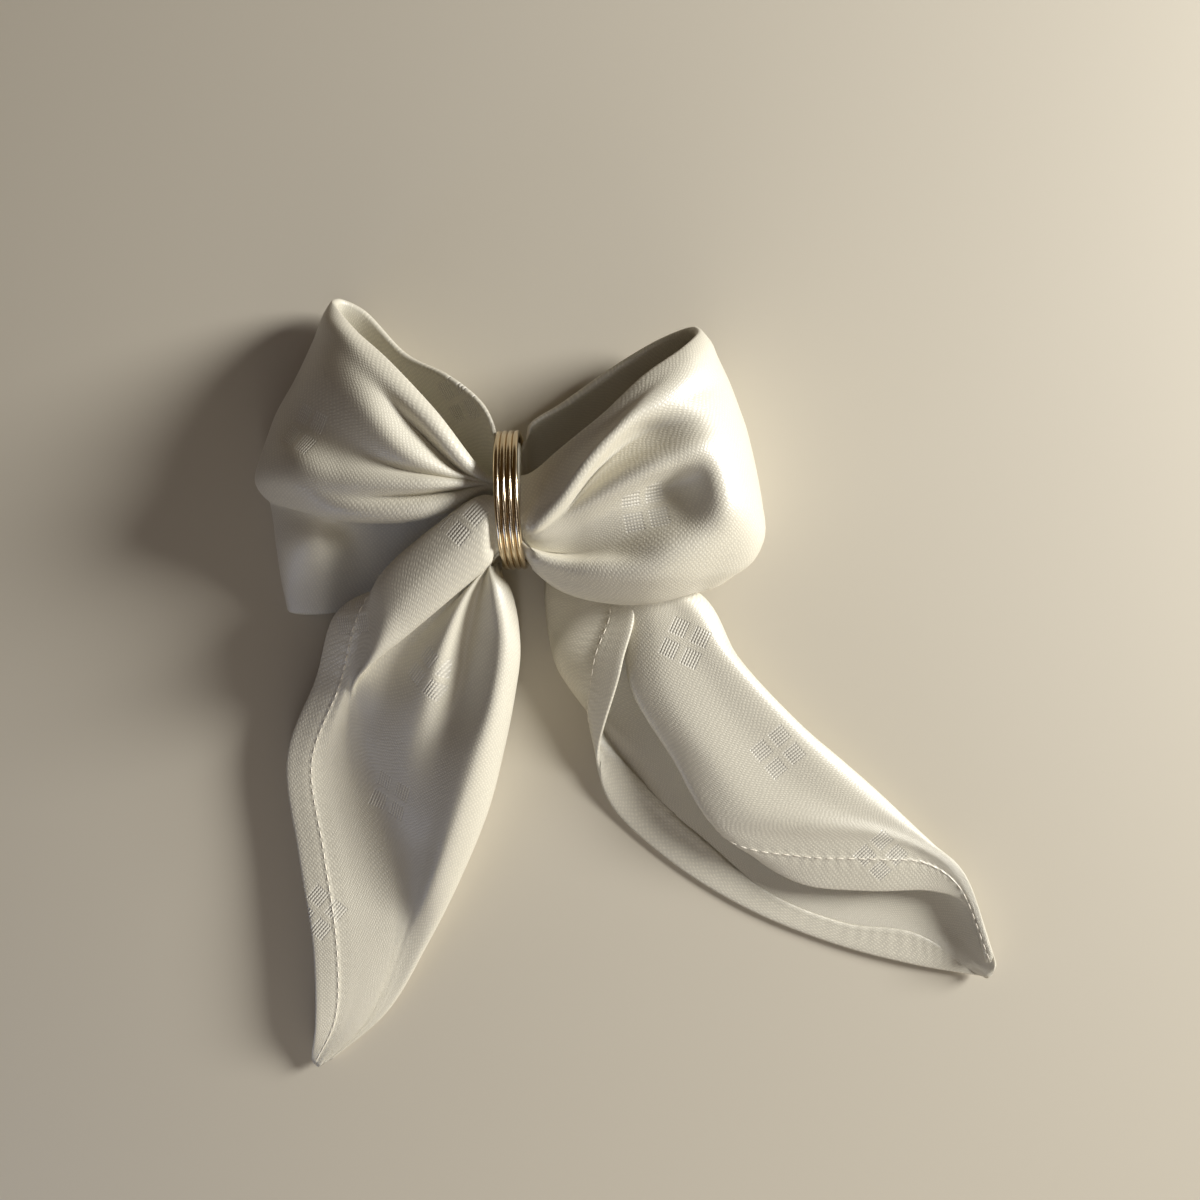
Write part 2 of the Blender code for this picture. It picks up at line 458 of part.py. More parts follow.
def largest_body(mesh):
    """Keeps the outer skin and drops the tiny pockets shut in between pressed folds."""
    bm = bmesh.new()
    bm.from_mesh(mesh)
    bodies = []
    seen = set()
    for seed in bm.faces:
        if seed in seen:
            continue
        seen.add(seed)
        body = [seed]
        for face in body:
            for edge in face.edges:
                for other in edge.link_faces:
                    if other not in seen:
                        seen.add(other)
                        body.append(other)
        bodies.append(body)
    bodies.sort(key=len)
    bmesh.ops.delete(bm, geom=[face for body in bodies[:-1] for face in body], context="FACES")
    bm.to_mesh(mesh)
    bm.free()


def fuse(obj, name, material):
    """One closed skin round shapes that overlap, with as few faces as its folds need."""
    remesh = obj.modifiers.new("fuse", "REMESH")
    remesh.mode = "VOXEL"
    remesh.voxel_size = FUSE_STEP * MM
    remesh.use_smooth_shade = True
    mesh = evaluated_mesh(obj)
    largest_body(mesh)
    fused = bpy.data.objects.new("fused " + name, mesh)
    bpy.context.scene.collection.objects.link(fused)
    bm = bmesh.new()
    bm.from_mesh(mesh)
    bmesh.ops.triangulate(bm, faces=bm.faces)
    count = len(bm.faces)
    bm.to_mesh(mesh)
    bm.free()
    thin = fused.modifiers.new("thin out", "DECIMATE")
    thin.decimate_type = "COLLAPSE"
    thin.ratio = FUSED_FACES / count
    result = bpy.data.objects.new(name, evaluated_mesh(fused))
    result.data.name = name
    result.data.materials.clear()
    result.data.materials.append(material)
    bpy.context.scene.collection.objects.link(result)
    for helper in (obj, fused):
        bpy.data.objects.remove(helper, do_unlink=True)
    for vertex in result.data.vertices:
        if vertex.co.z < REST_FLAT * MM:
            vertex.co.z = 0.0
    return result


def clearance_mesh():
    """The space the wires need, with a fine gap all round, as a plain hoop."""
    outline = ((-WIRES_HALF, WIRES_INSIDE), (WIRES_HALF, WIRES_INSIDE), (WIRES_HALF, WIRES_OUTSIDE),
               (-WIRES_HALF, WIRES_OUTSIDE))
    points = []
    for step in range(RING_STEPS):
        angle = 2.0 * math.pi * step / RING_STEPS
        for along, radius in outline:
            points.append(from_ring_frame(np.array(along), radius * math.cos(angle), radius * math.sin(angle)))
    faces = []
    for step in range(RING_STEPS):
        other = (step + 1) % RING_STEPS
        for k in range(4):
            m = (k + 1) % 4
            faces.append((step * 4 + k, other * 4 + k, other * 4 + m, step * 4 + m))
    return np.array(points), faces


def box_of(objects):
    graph = bpy.context.evaluated_depsgraph_get()
    corners = []
    for obj in objects:
        evaluated = obj.evaluated_get(graph)
        mesh = evaluated.to_mesh()
        corners += [obj.matrix_world @ v.co for v in mesh.vertices]
        evaluated.to_mesh_clear()
    corners = np.array([tuple(c) for c in corners])
    return corners.min(axis=0), corners.max(axis=0)


def main():
    clear_scene()
    cloth = make_material("satin damask", CLOTH)
    gilt = make_material("pale gilt wire", GILT)

    points, faces = waist_mesh()
    panels = (
        (loop_rows(LEFT_LOOP_FRONT, LEFT_LOOP_BACK), BAND_THICK),
        (loop_rows(RIGHT_LOOP_FRONT, RIGHT_LOOP_BACK), BAND_THICK),
        (fold_rows(LEFT_TAIL), LEAF_THICK),
        (fold_rows(RIGHT_TAIL), LEAF_THICK),
    )
    for rows, thick in panels:
        more_points, more_faces = thicken(sheet_grid(rows, SHEET_GRID), thick)
        faces = faces + [tuple(v + len(points) for v in face) for face in more_faces]
        points = np.concatenate([points, more_points])
    napkin = fuse(add_object("overlapping cloth", points, faces, cloth), "napkin", cloth)

    gap = add_object("gap round the wires", *clearance_mesh(), gilt)
    gap.hide_render = True
    gap.display_type = "WIRE"
    cut = napkin.modifiers.new("gap round the wires", "BOOLEAN")
    cut.operation = "DIFFERENCE"
    cut.solver = "EXACT"
    cut.object = gap

    ring = add_object("ring", *ring_mesh(), gilt)

    low, high = box_of([napkin, ring])
    shift = (-(low[0] + high[0]) / 2, -(low[1] + high[1]) / 2, -low[2])
    for obj in (napkin, ring, gap):
        for vertex in obj.data.vertices:
            vertex.co = vertex.co + type(vertex.co)(shift)
        obj.data.shade_smooth()
        obj.data.set_sharp_from_angle(angle=math.radians(40))
    print("plan shift in mm:", [round(s / MM, 2) for s in shift])


main()
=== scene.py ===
# Cloth napkin in a ring: satin damask tied as a bow through four fine gilt wires.
# Sizes are in millimetres until a mesh is made. The fold tables are seen from above, with 0, 0
# under the ring: x to the right, y up the table, z height.
import math

import bmesh
import bpy
import numpy as np
from mathutils import Matrix, Vector


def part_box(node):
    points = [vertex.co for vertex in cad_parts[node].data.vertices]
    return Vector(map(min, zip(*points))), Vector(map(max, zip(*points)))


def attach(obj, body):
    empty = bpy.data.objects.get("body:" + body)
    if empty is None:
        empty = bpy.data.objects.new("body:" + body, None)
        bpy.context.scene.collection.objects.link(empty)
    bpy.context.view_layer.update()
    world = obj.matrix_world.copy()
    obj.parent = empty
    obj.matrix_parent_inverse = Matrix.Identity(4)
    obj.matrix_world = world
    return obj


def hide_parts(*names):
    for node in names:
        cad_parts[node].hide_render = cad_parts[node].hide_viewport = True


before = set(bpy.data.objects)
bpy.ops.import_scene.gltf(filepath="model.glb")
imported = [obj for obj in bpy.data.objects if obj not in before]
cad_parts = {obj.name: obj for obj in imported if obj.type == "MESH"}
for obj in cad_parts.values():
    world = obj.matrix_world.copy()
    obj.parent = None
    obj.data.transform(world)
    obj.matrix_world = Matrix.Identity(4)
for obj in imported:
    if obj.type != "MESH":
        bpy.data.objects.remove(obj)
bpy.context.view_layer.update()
mm = 0.001
weldGap = 1e-7  # metres; points nearer than this are merged
tiny = 1e-9  # keeps a division from failing on nothing

cloth = {
    "bandThick": 2.4,  # eight layers of 0.3 mm through the loops
    "innerLayers": (0.56, 0.19, -0.19, -0.56),  # the layers drawn in a band, from face to face
    "leafThick": 0.75,  # one leaf of a tail
    "hemThick": 1.25,  # the same leaf where its edge is turned twice
    "hemWidth": 8.6,
    "hemLead": 0.5,  # a leaf starts to thicken this far before its stitching
    "hemRise": 0.9,
    "underSeam": 0.5,  # the under leaf's seam reads softer, as if twice as wide
    "noHem": 500.0,  # written where there is no hem, well past its puckers
    "gridStep": 1.54,  # spacing of the mesh
    "gridPercent": 80,  # percentile of a panel's widths that sets its steps across
    "flatPercent": 75,  # and the one that gives its width in the flat cloth
    "leastGap": 0.05,  # fold points nearer than this count as this far apart
    "edgeSteps": 5,  # facets round a folded edge
    "restFlat": 0.35,  # cloth lower than this lies on the table
    "pressedShare": 0.45,  # how thin the gathers are in the ring
    "pressedTo": 9.0,
    "looseFrom": 24.0,
    "pressedOut": 0.5,  # distance out from the ring's axis counts for less
}

waist = {
    "radius": 17.2,
    "halfLength": 3.4,
    "pleats": 26,
    "pleatSteps": 8,  # facets across a pleat
    "pleatDepth": 0.55,
    "flatHalf": 10.0,  # half its length in the flat cloth
}

ring = {
    "wires": 4,
    "wireRadius": 0.88,
    "wirePitch": 1.7,
    "hoopRadius": 19.4,
    "turn": math.radians(2.6),  # the hoops stand a little turned from the bow
    "at": (0.7, 0.0, 20.3),
    "wireSides": 20,
    "hoopSteps": 144,
    "boreClear": 17.8,  # how far out the cloth reaches inside the wires
    "boreHalf": 4.3,
    "boreFlare": 1.6,  # how fast that grows past the outer wires
    "pastWires": 22.0,  # cloth further out than this isn't drawn in
}

stitches = {
    "pitch": 3.3,
    "length": 2.3,
    "radius": 0.2,
    "tall": 1.1,  # height over width
    "proud": 0.02,
    "first": 1.0,  # along the seam
    "stop": 3.0,  # before the end of the seam
    "clearOfRing": 26.0,
    "lowest": 0.4,  # none where the cloth lies on the table
}

# Each table holds the folds of one panel, a row for each fold line. "fold" names the columns, the
# stations that every fold line passes, and a cell is that point's x, y and height.
leftLoopFront = {
    "fold": ("ring", "exit", "near", "middle", "far", "shoulder", "turn"),
    "upper edge": ((0, 3, 27), (-5, 5.1, 31), (-8.7, 8.6, 34), (-18.4, 20.7, 36), (-32.8, 36.3, 33),
        (-45.9, 48.8, 24), (-53.7, 59.6, 13)),
    "rim": ((0, 2.5, 28), (-5.4, 4.4, 32), (-10.2, 7.3, 35.5), (-20.2, 19.2, 38), (-35.1, 34.4, 35),
        (-47.4, 47.9, 26), (-55.2, 55.6, 15)),
    "trough": ((0, 2, 27), (-6, 4.2, 29.5), (-13.2, 7.5, 30.5), (-24, 18, 34.2),
        (-36.6, 30.4, 35.8), (-48.9, 42.6, 27.5), (-57.9, 47.3, 16)),
    "crest": ((0, 1.5, 28), (-5.8, 3.7, 31), (-15.5, 6, 35), (-26.6, 11.4, 38.8),
        (-37.9, 22.7, 38.2), (-51.4, 33.6, 29.5), (-63.1, 35.6, 16.5)),
    "slope": ((0, 1, 27.5), (-6, 3.6, 29.5), (-17.8, 4.9, 33), (-31.3, 7.6, 35),
        (-44.6, 13.1, 33.8), (-57.4, 19.1, 28.5), (-68.7, 25.5, 16.5)),
    "pleat": ((0, 0.5, 28), (-5.5, 3.2, 31), (-15.1, 3, 36), (-28.5, 2.9, 37.4), (-44.5, 4.4, 36.2),
        (-57.6, 9, 33), (-72.1, 15.9, 17)),
    "crease": ((0, 0, 27), (-5.5, 3.1, 29), (-16.5, 1.6, 30.5), (-27.4, -0.1, 32.5),
        (-44.8, 0.3, 34), (-59.8, 4.5, 31.5), (-74.7, 8.9, 16.5)),
    "lower roll": ((0, -0.5, 28), (-5, 2.4, 30.5), (-14.9, -1, 33.5), (-25.8, -3.3, 34.8),
        (-44.5, -3.4, 33.2), (-59.7, 0.9, 28.5), (-75.6, 5.9, 14.5)),
    "lip": ((0, -1, 26), (-4.9, 2.3, 29), (-16.5, -3.3, 31), (-27.3, -6.1, 31.6),
        (-45.5, -5.8, 29.6), (-59.2, -2.6, 24.8), (-74.3, 3.1, 12.8)),
    "tuck": ((0, -1.5, 23), (-5.4, 2.8, 25), (-17.3, -1.3, 26), (-28.5, -3.3, 26),
        (-46.8, -3.4, 24), (-59.4, -2, 21.5), (-72.6, 1.1, 11.5)),
    "under lip": ((0, -3, 20), (-5.9, 1.8, 21), (-17.2, -3.3, 19.5), (-29.3, -5.5, 18),
        (-47.1, -5.7, 17.5), (-58, -5.1, 20.5), (-71.2, -3.2, 12)),
    "lower panel": ((0, -6, 17), (-6.4, -2.4, 17), (-17.2, -10.5, 14), (-29.6, -14.6, 12),
        (-46, -14.1, 12.6), (-58.3, -11.5, 19.6), (-70.2, -12.8, 11.5)),
    "lower fall": ((0, -9, 14), (-6.2, -8.1, 13.5), (-16.9, -17.6, 10.5), (-31.8, -23, 8.5),
        (-48.7, -24.5, 8.2), (-60.7, -23, 11), (-70.1, -23.6, 7.5)),
    "lower edge": ((0, -11, 11), (-6, -12.4, 10.5), (-18.3, -24.5, 7.5), (-33.9, -29.1, 6),
        (-51, -31.3, 5.5), (-62.7, -32.5, 5.5), (-69.7, -31.6, 4)),
}

leftLoopBack = {
    "fold": ("turned", "far", "middle", "near", "exit", "waist", "ring"),
    "upper edge": ((-53.1, 61.8, 8), (-47.3, 59.5, 5.5), (-33.5, 45.3, 8), (-19.1, 36.8, 15),
        (-8.1, 27.4, 20), (-1.5, 14.5, 22), (2, 13, 22)),
    "upper back": ((-60.4, 48.8, 3), (-51.5, 48.6, 1.6), (-36.1, 36.3, 3), (-21.1, 27.3, 9),
        (-9.6, 18.6, 15), (-1.5, 10, 17), (2, 9, 17)),
    "middle": ((-73, 17.8, 1.8), (-58.5, 17.9, 1.2), (-39.7, 14.2, 1.2), (-23.7, 9.9, 3),
        (-11.1, 5.8, 8), (-1.5, 2, 11), (2, 2, 11)),
    "lower back": ((-71, -11.9, 1.3), (-56.9, -10.3, 1.2), (-39.7, -8.7, 1.2), (-23.8, -7.2, 2),
        (-11.4, -6.9, 6), (-1.5, -6, 9), (2, -5, 9)),
    "lower edge": ((-68.2, -29.1, 1.2), (-56.9, -28.5, 1.2), (-39.7, -24.4, 1.2),
        (-23.9, -19.1, 1.4), (-11, -15.5, 4.5), (-1.5, -11, 8.5), (2, -10, 8.5)),
}

rightLoopFront = {
    "fold": ("ring", "exit", "near", "middle", "far", "shoulder", "turn"),
    "upper edge": ((0, 5, 30), (6.5, 5.9, 31.3), (15.4, 11.9, 34.5), (27.3, 20.6, 38),
        (38.5, 31.3, 37.5), (49.1, 40, 32), (55.1, 48.2, 21)),
    "rim": ((0, 4, 31), (6.9, 3.8, 33.3), (16.9, 9.1, 36.5), (29.2, 18, 40), (40.6, 28.4, 39.5),
        (50.9, 37.5, 34), (57.6, 45, 22)),
    "rim fall": ((0, -1, 32), (7, -3.2, 36.4), (15.9, 2.3, 39.8), (26.5, 12.4, 42.8),
        (38.3, 24, 42.2), (51.5, 32.2, 36.4), (59.2, 40.1, 23)),
    "ridge": ((0, -6, 34), (7.1, -9.7, 38.1), (14.9, -3.5, 41.5), (23.3, 7.6, 44),
        (34.2, 18.6, 43.6), (49.1, 25.9, 38.6), (61.1, 34.1, 24)),
    "ridge lip": ((0, -6.5, 32), (7, -10.2, 35.9), (15.3, -4, 39.4), (23.9, 7.3, 41),
        (35.4, 18.3, 40.4), (50.7, 23.8, 38.4), (62.2, 31.5, 24)),
    "pocket": ((0, -7, 31), (7, -10.6, 34.1), (15.8, -4.3, 37.1), (24.8, 7.1, 36), (37.5, 17.1, 36),
        (52.7, 21.1, 38), (63.4, 28.3, 24)),
    "pocket rise": ((0, -7.2, 31), (7.1, -11, 33.5), (16.6, -4.8, 36.3), (28.4, 5.5, 36.4),
        (40.4, 12.5, 37.4), (54.5, 17.2, 38.6), (65.1, 23.1, 24)),
    "third crest": ((0, -7.5, 31), (7.2, -11.4, 33), (17.4, -5.4, 36), (32.1, 2.9, 40.4),
        (44.2, 8.3, 41.8), (55.4, 12.9, 40), (66.9, 17.6, 24)),
    "dent": ((0, -8, 30.5), (7.6, -12.4, 31.8), (19.5, -8.7, 32.4), (33.1, -2.2, 34.2),
        (46.3, 3.3, 32.4), (58, 5.1, 39.2), (69.5, 6.1, 24)),
    "fall": ((0, -8.5, 30), (7.5, -13.4, 30.9), (19.2, -12.5, 30.6), (33.7, -9.3, 32.4),
        (48.6, -6.1, 34.2), (60.3, -4.8, 38), (71.8, -3.9, 23)),
    "trough": ((0, -9, 29), (7, -14.7, 30.2), (16.9, -16.7, 29), (29.3, -16.2, 32),
        (45.9, -14.9, 37), (60.1, -12.7, 33.5), (73, -10.7, 20.5)),
    "lip": ((0, -9.5, 31), (7.2, -15.8, 33.6), (16.8, -19.1, 34), (29.2, -20, 35.5),
        (43.8, -20.6, 35.5), (57.3, -18.9, 29.5), (70.4, -17, 18.5)),
    "lower roll": ((0, -11, 30), (7.3, -18, 32.2), (16.4, -22.6, 30.8), (29.6, -24.9, 31.6),
        (41.9, -24.6, 31.6), (55, -22.3, 27), (66, -20.2, 18)),
    "bottom": ((0, -12, 27), (7.5, -20, 28.5), (15.3, -25.7, 26.5), (29.9, -29.1, 25),
        (40.6, -29.1, 23.5), (52.7, -26.2, 19), (60.5, -23.4, 12.5)),
    "turned under": ((0, -11, 22), (7.1, -18.9, 23.4), (15.1, -24.1, 21), (30, -26.5, 19.5),
        (40.4, -26.1, 18), (50.8, -22.8, 14), (55.8, -20.2, 8.5)),
}

rightLoopBack = {
    "fold": ("turned", "far", "middle", "near", "exit", "waist", "ring"),
    "upper edge": ((53.6, 51.2, 15), (44.4, 49, 10), (29.9, 41.2, 7), (15.5, 30.4, 9),
        (5.3, 22.5, 15), (3, 14.5, 19), (-1, 13, 19)),
    "upper back": ((60.9, 40.5, 5), (46.5, 38, 2.5), (29.3, 31, 1.6), (15.3, 23.8, 3.5),
        (4.9, 17.6, 9), (3, 9, 12), (-1, 8, 12)),
    "middle": ((69.4, 17.8, 2), (51.3, 17.3, 1.2), (30.9, 14.8, 1.2), (16.8, 12.3, 1.4),
        (6, 8.8, 4), (3, 2, 7), (-1, 2, 7)),
    "lower back": ((68.5, -7.2, 1.6), (51.3, -6.5, 1.2), (30.9, -4, 1.2), (16.8, -1.5, 1.2),
        (6, -0.2, 3.5), (3, -4, 6), (-1, -4, 6)),
    "lower edge": ((55.3, -17.2, 2), (45, -16.6, 1.2), (30, -14.4, 1.2), (16.8, -10.3, 1.2),
        (6, -7.3, 3.5), (3, -8, 6), (-1, -8, 6)),
}

leftTail = {
    "fold": ("ring", "exit", "crossing", "band", "corner", "knee", "upper", "middle", "lower",
        "end", "tip"),
    "hem edge": ((0, -3, 33), (-5.6, -3.6, 31.6), (-17.6, -12.7, 29), (-33, -23.9, 25),
        (-49.9, -32.6, 21), (-58.4, -52.5, 13.5), (-68.7, -77, 8.8), (-65.1, -107.6, 8.6),
        (-60.5, -134, 9.8), (-60.3, -158.1, 8.4), (-63.1, -171.6, 3.4)),
    "stitching": ((0, -2, 35), (-6, -1.4, 34.5), (-19.1, -10.1, 32), (-35.3, -22.8, 27.5),
        (-43.3, -34.3, 25), (-50.7, -53.8, 16.2), (-61.6, -78.5, 9.2), (-58, -106, 8.8),
        (-53.8, -134.1, 9.6), (-54.7, -156.5, 7.8), (-62.4, -173.2, 3.3)),
    "band turn": ((0, -2, 36.5), (-5.8, -0.4, 36.6), (-19.5, -8.9, 34.5), (-36.4, -23.5, 30),
        (-40.2, -33.1, 27), (-49.5, -55.2, 16.4), (-58.8, -78.9, 8.4), (-54.8, -105.5, 8.4),
        (-50.6, -134.2, 9.2), (-52.9, -157, 7.4), (-61.9, -173.8, 3.3)),
    "band crest": ((0, -6, 37), (-4.8, -7.8, 38.2), (-16.9, -18.1, 36.5), (-30, -30.8, 33),
        (-37.4, -40.4, 29), (-48.9, -56.8, 15.4), (-54.8, -79.4, 7.4), (-50.4, -105.1, 7.6),
        (-46.5, -133.6, 8.5), (-51.2, -157.2, 6.9), (-61.4, -174.2, 3.3)),
    "band lip": ((0, -12, 33), (-4.1, -18.4, 32.7), (-16.2, -28.8, 31), (-28.6, -38.8, 28),
        (-41, -48.6, 25), (-48.7, -58.4, 14), (-51.2, -79.8, 6.9), (-45.1, -104.7, 7),
        (-42.4, -132.6, 7.8), (-49.2, -157.8, 6.3), (-61, -174, 3.2)),
    "band tuck": ((0, -12, 30), (-4.7, -17.3, 28.6), (-17.9, -27.7, 26), (-31, -37.2, 23.5),
        (-43.4, -47.8, 20.5), (-48.1, -60.7, 12.6), (-48.4, -80.1, 7.1), (-39.8, -104.7, 7),
        (-39.2, -131.9, 7.3), (-47.5, -158.1, 5.8), (-60.7, -173.7, 3.2)),
    "inner fall": ((0, -12.5, 28), (-4.9, -18.6, 26.5), (-16.9, -30.3, 23.5), (-28.8, -41.7, 20),
        (-38.6, -56.4, 16), (-44.6, -66.3, 11.2), (-43, -81.7, 8), (-36.4, -105.2, 7.4),
        (-36.5, -130.8, 6.9), (-46.1, -158.3, 5.3), (-60.2, -173.5, 3.1)),
    "ridge": ((0, -13, 29), (-4.9, -18.6, 29), (-12.3, -28.3, 29), (-19.6, -44.8, 26),
        (-24.2, -60, 21.5), (-30.3, -74.3, 16), (-33, -89.5, 11.6), (-31.1, -106, 9),
        (-34.7, -130.3, 6.7), (-45.3, -157.9, 4.9), (-59.8, -173.2, 3)),
    "trough": ((0, -13.5, 28), (-4.9, -18.5, 27.1), (-8.6, -26.2, 25), (-12.4, -40.8, 20.5),
        (-15, -58.5, 18.6), (-20.7, -73.9, 18.2), (-24.1, -90.5, 15.4), (-27, -108.7, 11.2),
        (-33.2, -129.7, 6.7), (-44.1, -157.4, 4.6), (-59.3, -172.9, 3)),
    "right crest": ((0, -14, 28), (-4.9, -18.7, 28.3), (-3.7, -25.7, 30), (-1.6, -40.5, 28),
        (-4.1, -57.7, 26), (-9.1, -74.5, 23.5), (-15.1, -91.3, 19.6), (-23.3, -112.5, 13.4),
        (-31.6, -131.2, 6.7), (-42.7, -156.6, 4.2), (-58.7, -172.5, 3)),
    "right edge": ((0, -14, 26), (-4.9, -18.8, 25.4), (0.1, -25.7, 25), (2.6, -42.2, 21.5),
        (0.6, -57.7, 18.5), (-3, -74.4, 15.5), (-8.1, -92.9, 12.5), (-17.7, -116, 9),
        (-27.6, -135.8, 5.2), (-40.1, -156.8, 3.2), (-57.7, -172.1, 2.8)),
    "turned under": ((0, -13, 24), (-4.9, -18.2, 22), (-2, -25.6, 19.5), (-0.5, -42.6, 14),
        (-3.1, -59.3, 9), (-7.2, -76.4, 5.5), (-12.4, -94.5, 3), (-21.7, -116.5, 1.6),
        (-31.5, -135.1, 1.1), (-42.9, -155.9, 0.9), (-58.6, -173, 0.7)),
    "under": ((0, -12, 23), (-5, -17.6, 21), (-12.2, -26.7, 18), (-17.4, -42.6, 13),
        (-24.6, -61.4, 6.5), (-31.5, -77.5, 2.5), (-37.2, -91.9, 1), (-39.8, -112.3, 0.7),
        (-44.5, -134.3, 0.7), (-52.3, -157.3, 0.7), (-61.1, -173.3, 0.7)),
    "under hem": ((0, -10, 24), (-6.6, -15.4, 22.6), (-18.3, -26.2, 20), (-31.8, -36.8, 17),
        (-43.9, -49.5, 14), (-51.8, -63.4, 8), (-62, -82.3, 1.8), (-63.3, -109.2, 0.8),
        (-59.6, -135.9, 0.7), (-59.6, -160.4, 0.7), (-63, -173.6, 0.7)),
}

rightTail = {
    "fold": ("ring", "exit", "loop edge", "flap", "twist", "upper", "middle", "lower", "far", "end",
        "tip"),
    "top hem edge": ((0, -6, 15), (14.2, -17.1, 13), (38.4, -32.8, 8.5), (44.6, -60.5, 6.8),
        (56.4, -81.5, 5.8), (72.5, -106.3, 5.5), (87.9, -115.9, 6), (109.4, -118.2, 6.1),
        (128.5, -118.3, 6.1), (137.9, -121.7, 6.6), (145.4, -140.3, 7)),
    "top stitching": ((0, -6, 16), (13, -17.7, 14.5), (34.1, -31.5, 9.8), (40.2, -58.7, 8.6),
        (51.3, -79.6, 7.8), (65.3, -101.9, 8.2), (87.3, -107.2, 8.3), (108.8, -108.1, 8.3),
        (126.3, -109.8, 7.2), (136.4, -116.9, 7.3), (146.2, -140.2, 7.2)),
    "left roll": ((0, -6, 18), (11.9, -17.8, 16), (29.8, -30.6, 12.4), (36.5, -57.5, 11.4),
        (47.7, -75.5, 10.4), (62, -96.8, 10.1), (85.6, -102.2, 9.5), (107.9, -102.8, 9.2),
        (124.2, -106.6, 7.8), (135.9, -114.6, 7.7), (146.1, -139.8, 7.4)),
    "top crest": ((0, -6.5, 19), (13.8, -17.3, 17), (38.1, -29.7, 15.2), (44.1, -54.8, 14.8),
        (57.7, -76.2, 13.4), (71.4, -93, 12.2), (88.2, -97.1, 11.5), (108.7, -99.5, 10.3),
        (123.3, -104.2, 8.6), (136.1, -113.1, 7.9), (146.2, -139.5, 7.5)),
    "top middle": ((0, -7.5, 19), (14.9, -16, 16.5), (45.9, -29.1, 15.5), (56, -49.4, 15),
        (71.9, -71.8, 12.8), (85.1, -85, 11.5), (99, -92.8, 10.5), (112.7, -97.9, 9.4),
        (124.7, -103.4, 8.2), (136.8, -112.1, 7.8), (146.4, -138.8, 7.6)),
    "right crest": ((0, -8, 18), (16.1, -14.8, 15), (51.2, -28.2, 15.2), (63.5, -44.6, 14.8),
        (81.5, -64.6, 12.8), (95.1, -78, 11.6), (106.7, -88.4, 10), (117.1, -96.2, 9),
        (126.7, -103.2, 7.8), (137.2, -112.5, 7.5), (146.7, -138.6, 7.4)),
    "right edge": ((0, -8, 16), (17.2, -13.8, 13), (56.5, -27.6, 11), (68.5, -47.4, 9.5),
        (87.6, -67.9, 8.5), (101.2, -79.3, 7.8), (112.1, -88.9, 7.3), (122.2, -98.6, 6.6),
        (131.1, -107.8, 5.7), (140.7, -121.4, 5.8), (147.6, -140.5, 6.6)),
    "turned under": ((0, -8, 13), (16.5, -14.2, 10), (53.8, -28.5, 7), (66.4, -48.9, 5),
        (85.2, -70.4, 4), (99.4, -82.4, 3), (110.5, -92.4, 2.6), (120.5, -102.5, 2.4),
        (129.2, -112.2, 2.4), (141, -124.9, 3.4), (148.1, -142.3, 5.8)),
    "under right": ((0, -9, 10), (14.6, -15.6, 8), (48.5, -30.6, 5), (57.5, -57.2, 2),
        (74.8, -79.3, 1), (89, -93.5, 0.8), (102.2, -103.8, 0.8), (113.5, -112.3, 0.9),
        (123.4, -121, 1.2), (136.3, -131, 2), (147.8, -144.5, 5)),
    "under middle": ((0, -9.5, 10), (13.3, -16.9, 8), (41.1, -32.8, 4.5), (48.2, -60.5, 1.2),
        (62.3, -82.5, 0.7), (75.5, -99.8, 0.7), (90.6, -113.3, 0.7), (104.7, -120.8, 0.8),
        (117.2, -127, 1.1), (132.6, -134.6, 1.8), (146.9, -146.1, 4.2)),
    "under left": ((0, -10, 10.5), (10.9, -17.5, 8.5), (21.5, -33.8, 3.5), (35.6, -57.3, 1.2),
        (46.3, -77.8, 0.7), (59.5, -96.6, 0.7), (75.8, -111.4, 0.7), (92.8, -123.3, 0.7),
        (110.3, -129.8, 1), (130.2, -137.1, 1.6), (146.4, -146.5, 3.2)),
    "flap turn": ((0, -10, 11.5), (9.2, -18.8, 10.5), (9.4, -29.1, 8), (13.8, -50.2, 3.6),
        (38.8, -76.8, 0.8), (52, -95.1, 0.7), (69.6, -111.4, 0.7), (87.8, -124.9, 0.7),
        (107.8, -131.8, 0.9), (128.9, -138.4, 1.5), (146, -146.4, 2.6)),
    "flap": ((0, -9.5, 13), (11.4, -17.7, 12.5), (19, -30, 12), (12.8, -45.9, 8.4),
        (30, -73.6, 1.2), (44.4, -91.9, 0.8), (62.6, -110.1, 0.7), (83.7, -125.9, 0.7),
        (105.3, -134, 0.9), (127.7, -139.7, 1.4), (145.8, -146.2, 2.3)),
    "under stitching": ((0, -9, 14), (13, -17.1, 14), (27.7, -30, 12.5), (22.6, -47.8, 12),
        (24, -68.1, 5.2), (40.3, -87.7, 1.2), (59.2, -104.5, 0.8), (79.6, -121.1, 0.8),
        (103.4, -130.5, 1), (124.9, -133.4, 1.5), (145.6, -146, 2.2)),
    "under hem edge": ((0, -8.5, 15), (14.9, -16.3, 15), (35.2, -29.7, 14), (32.2, -48.5, 15),
        (25.6, -78, 5), (30.3, -93, 1.6), (48.8, -110.7, 0.8), (73.3, -125.8, 0.8),
        (100.9, -136.7, 1), (125.2, -142.8, 1.5), (145.3, -146, 2.1)),
}


# folds to a smooth middle surface


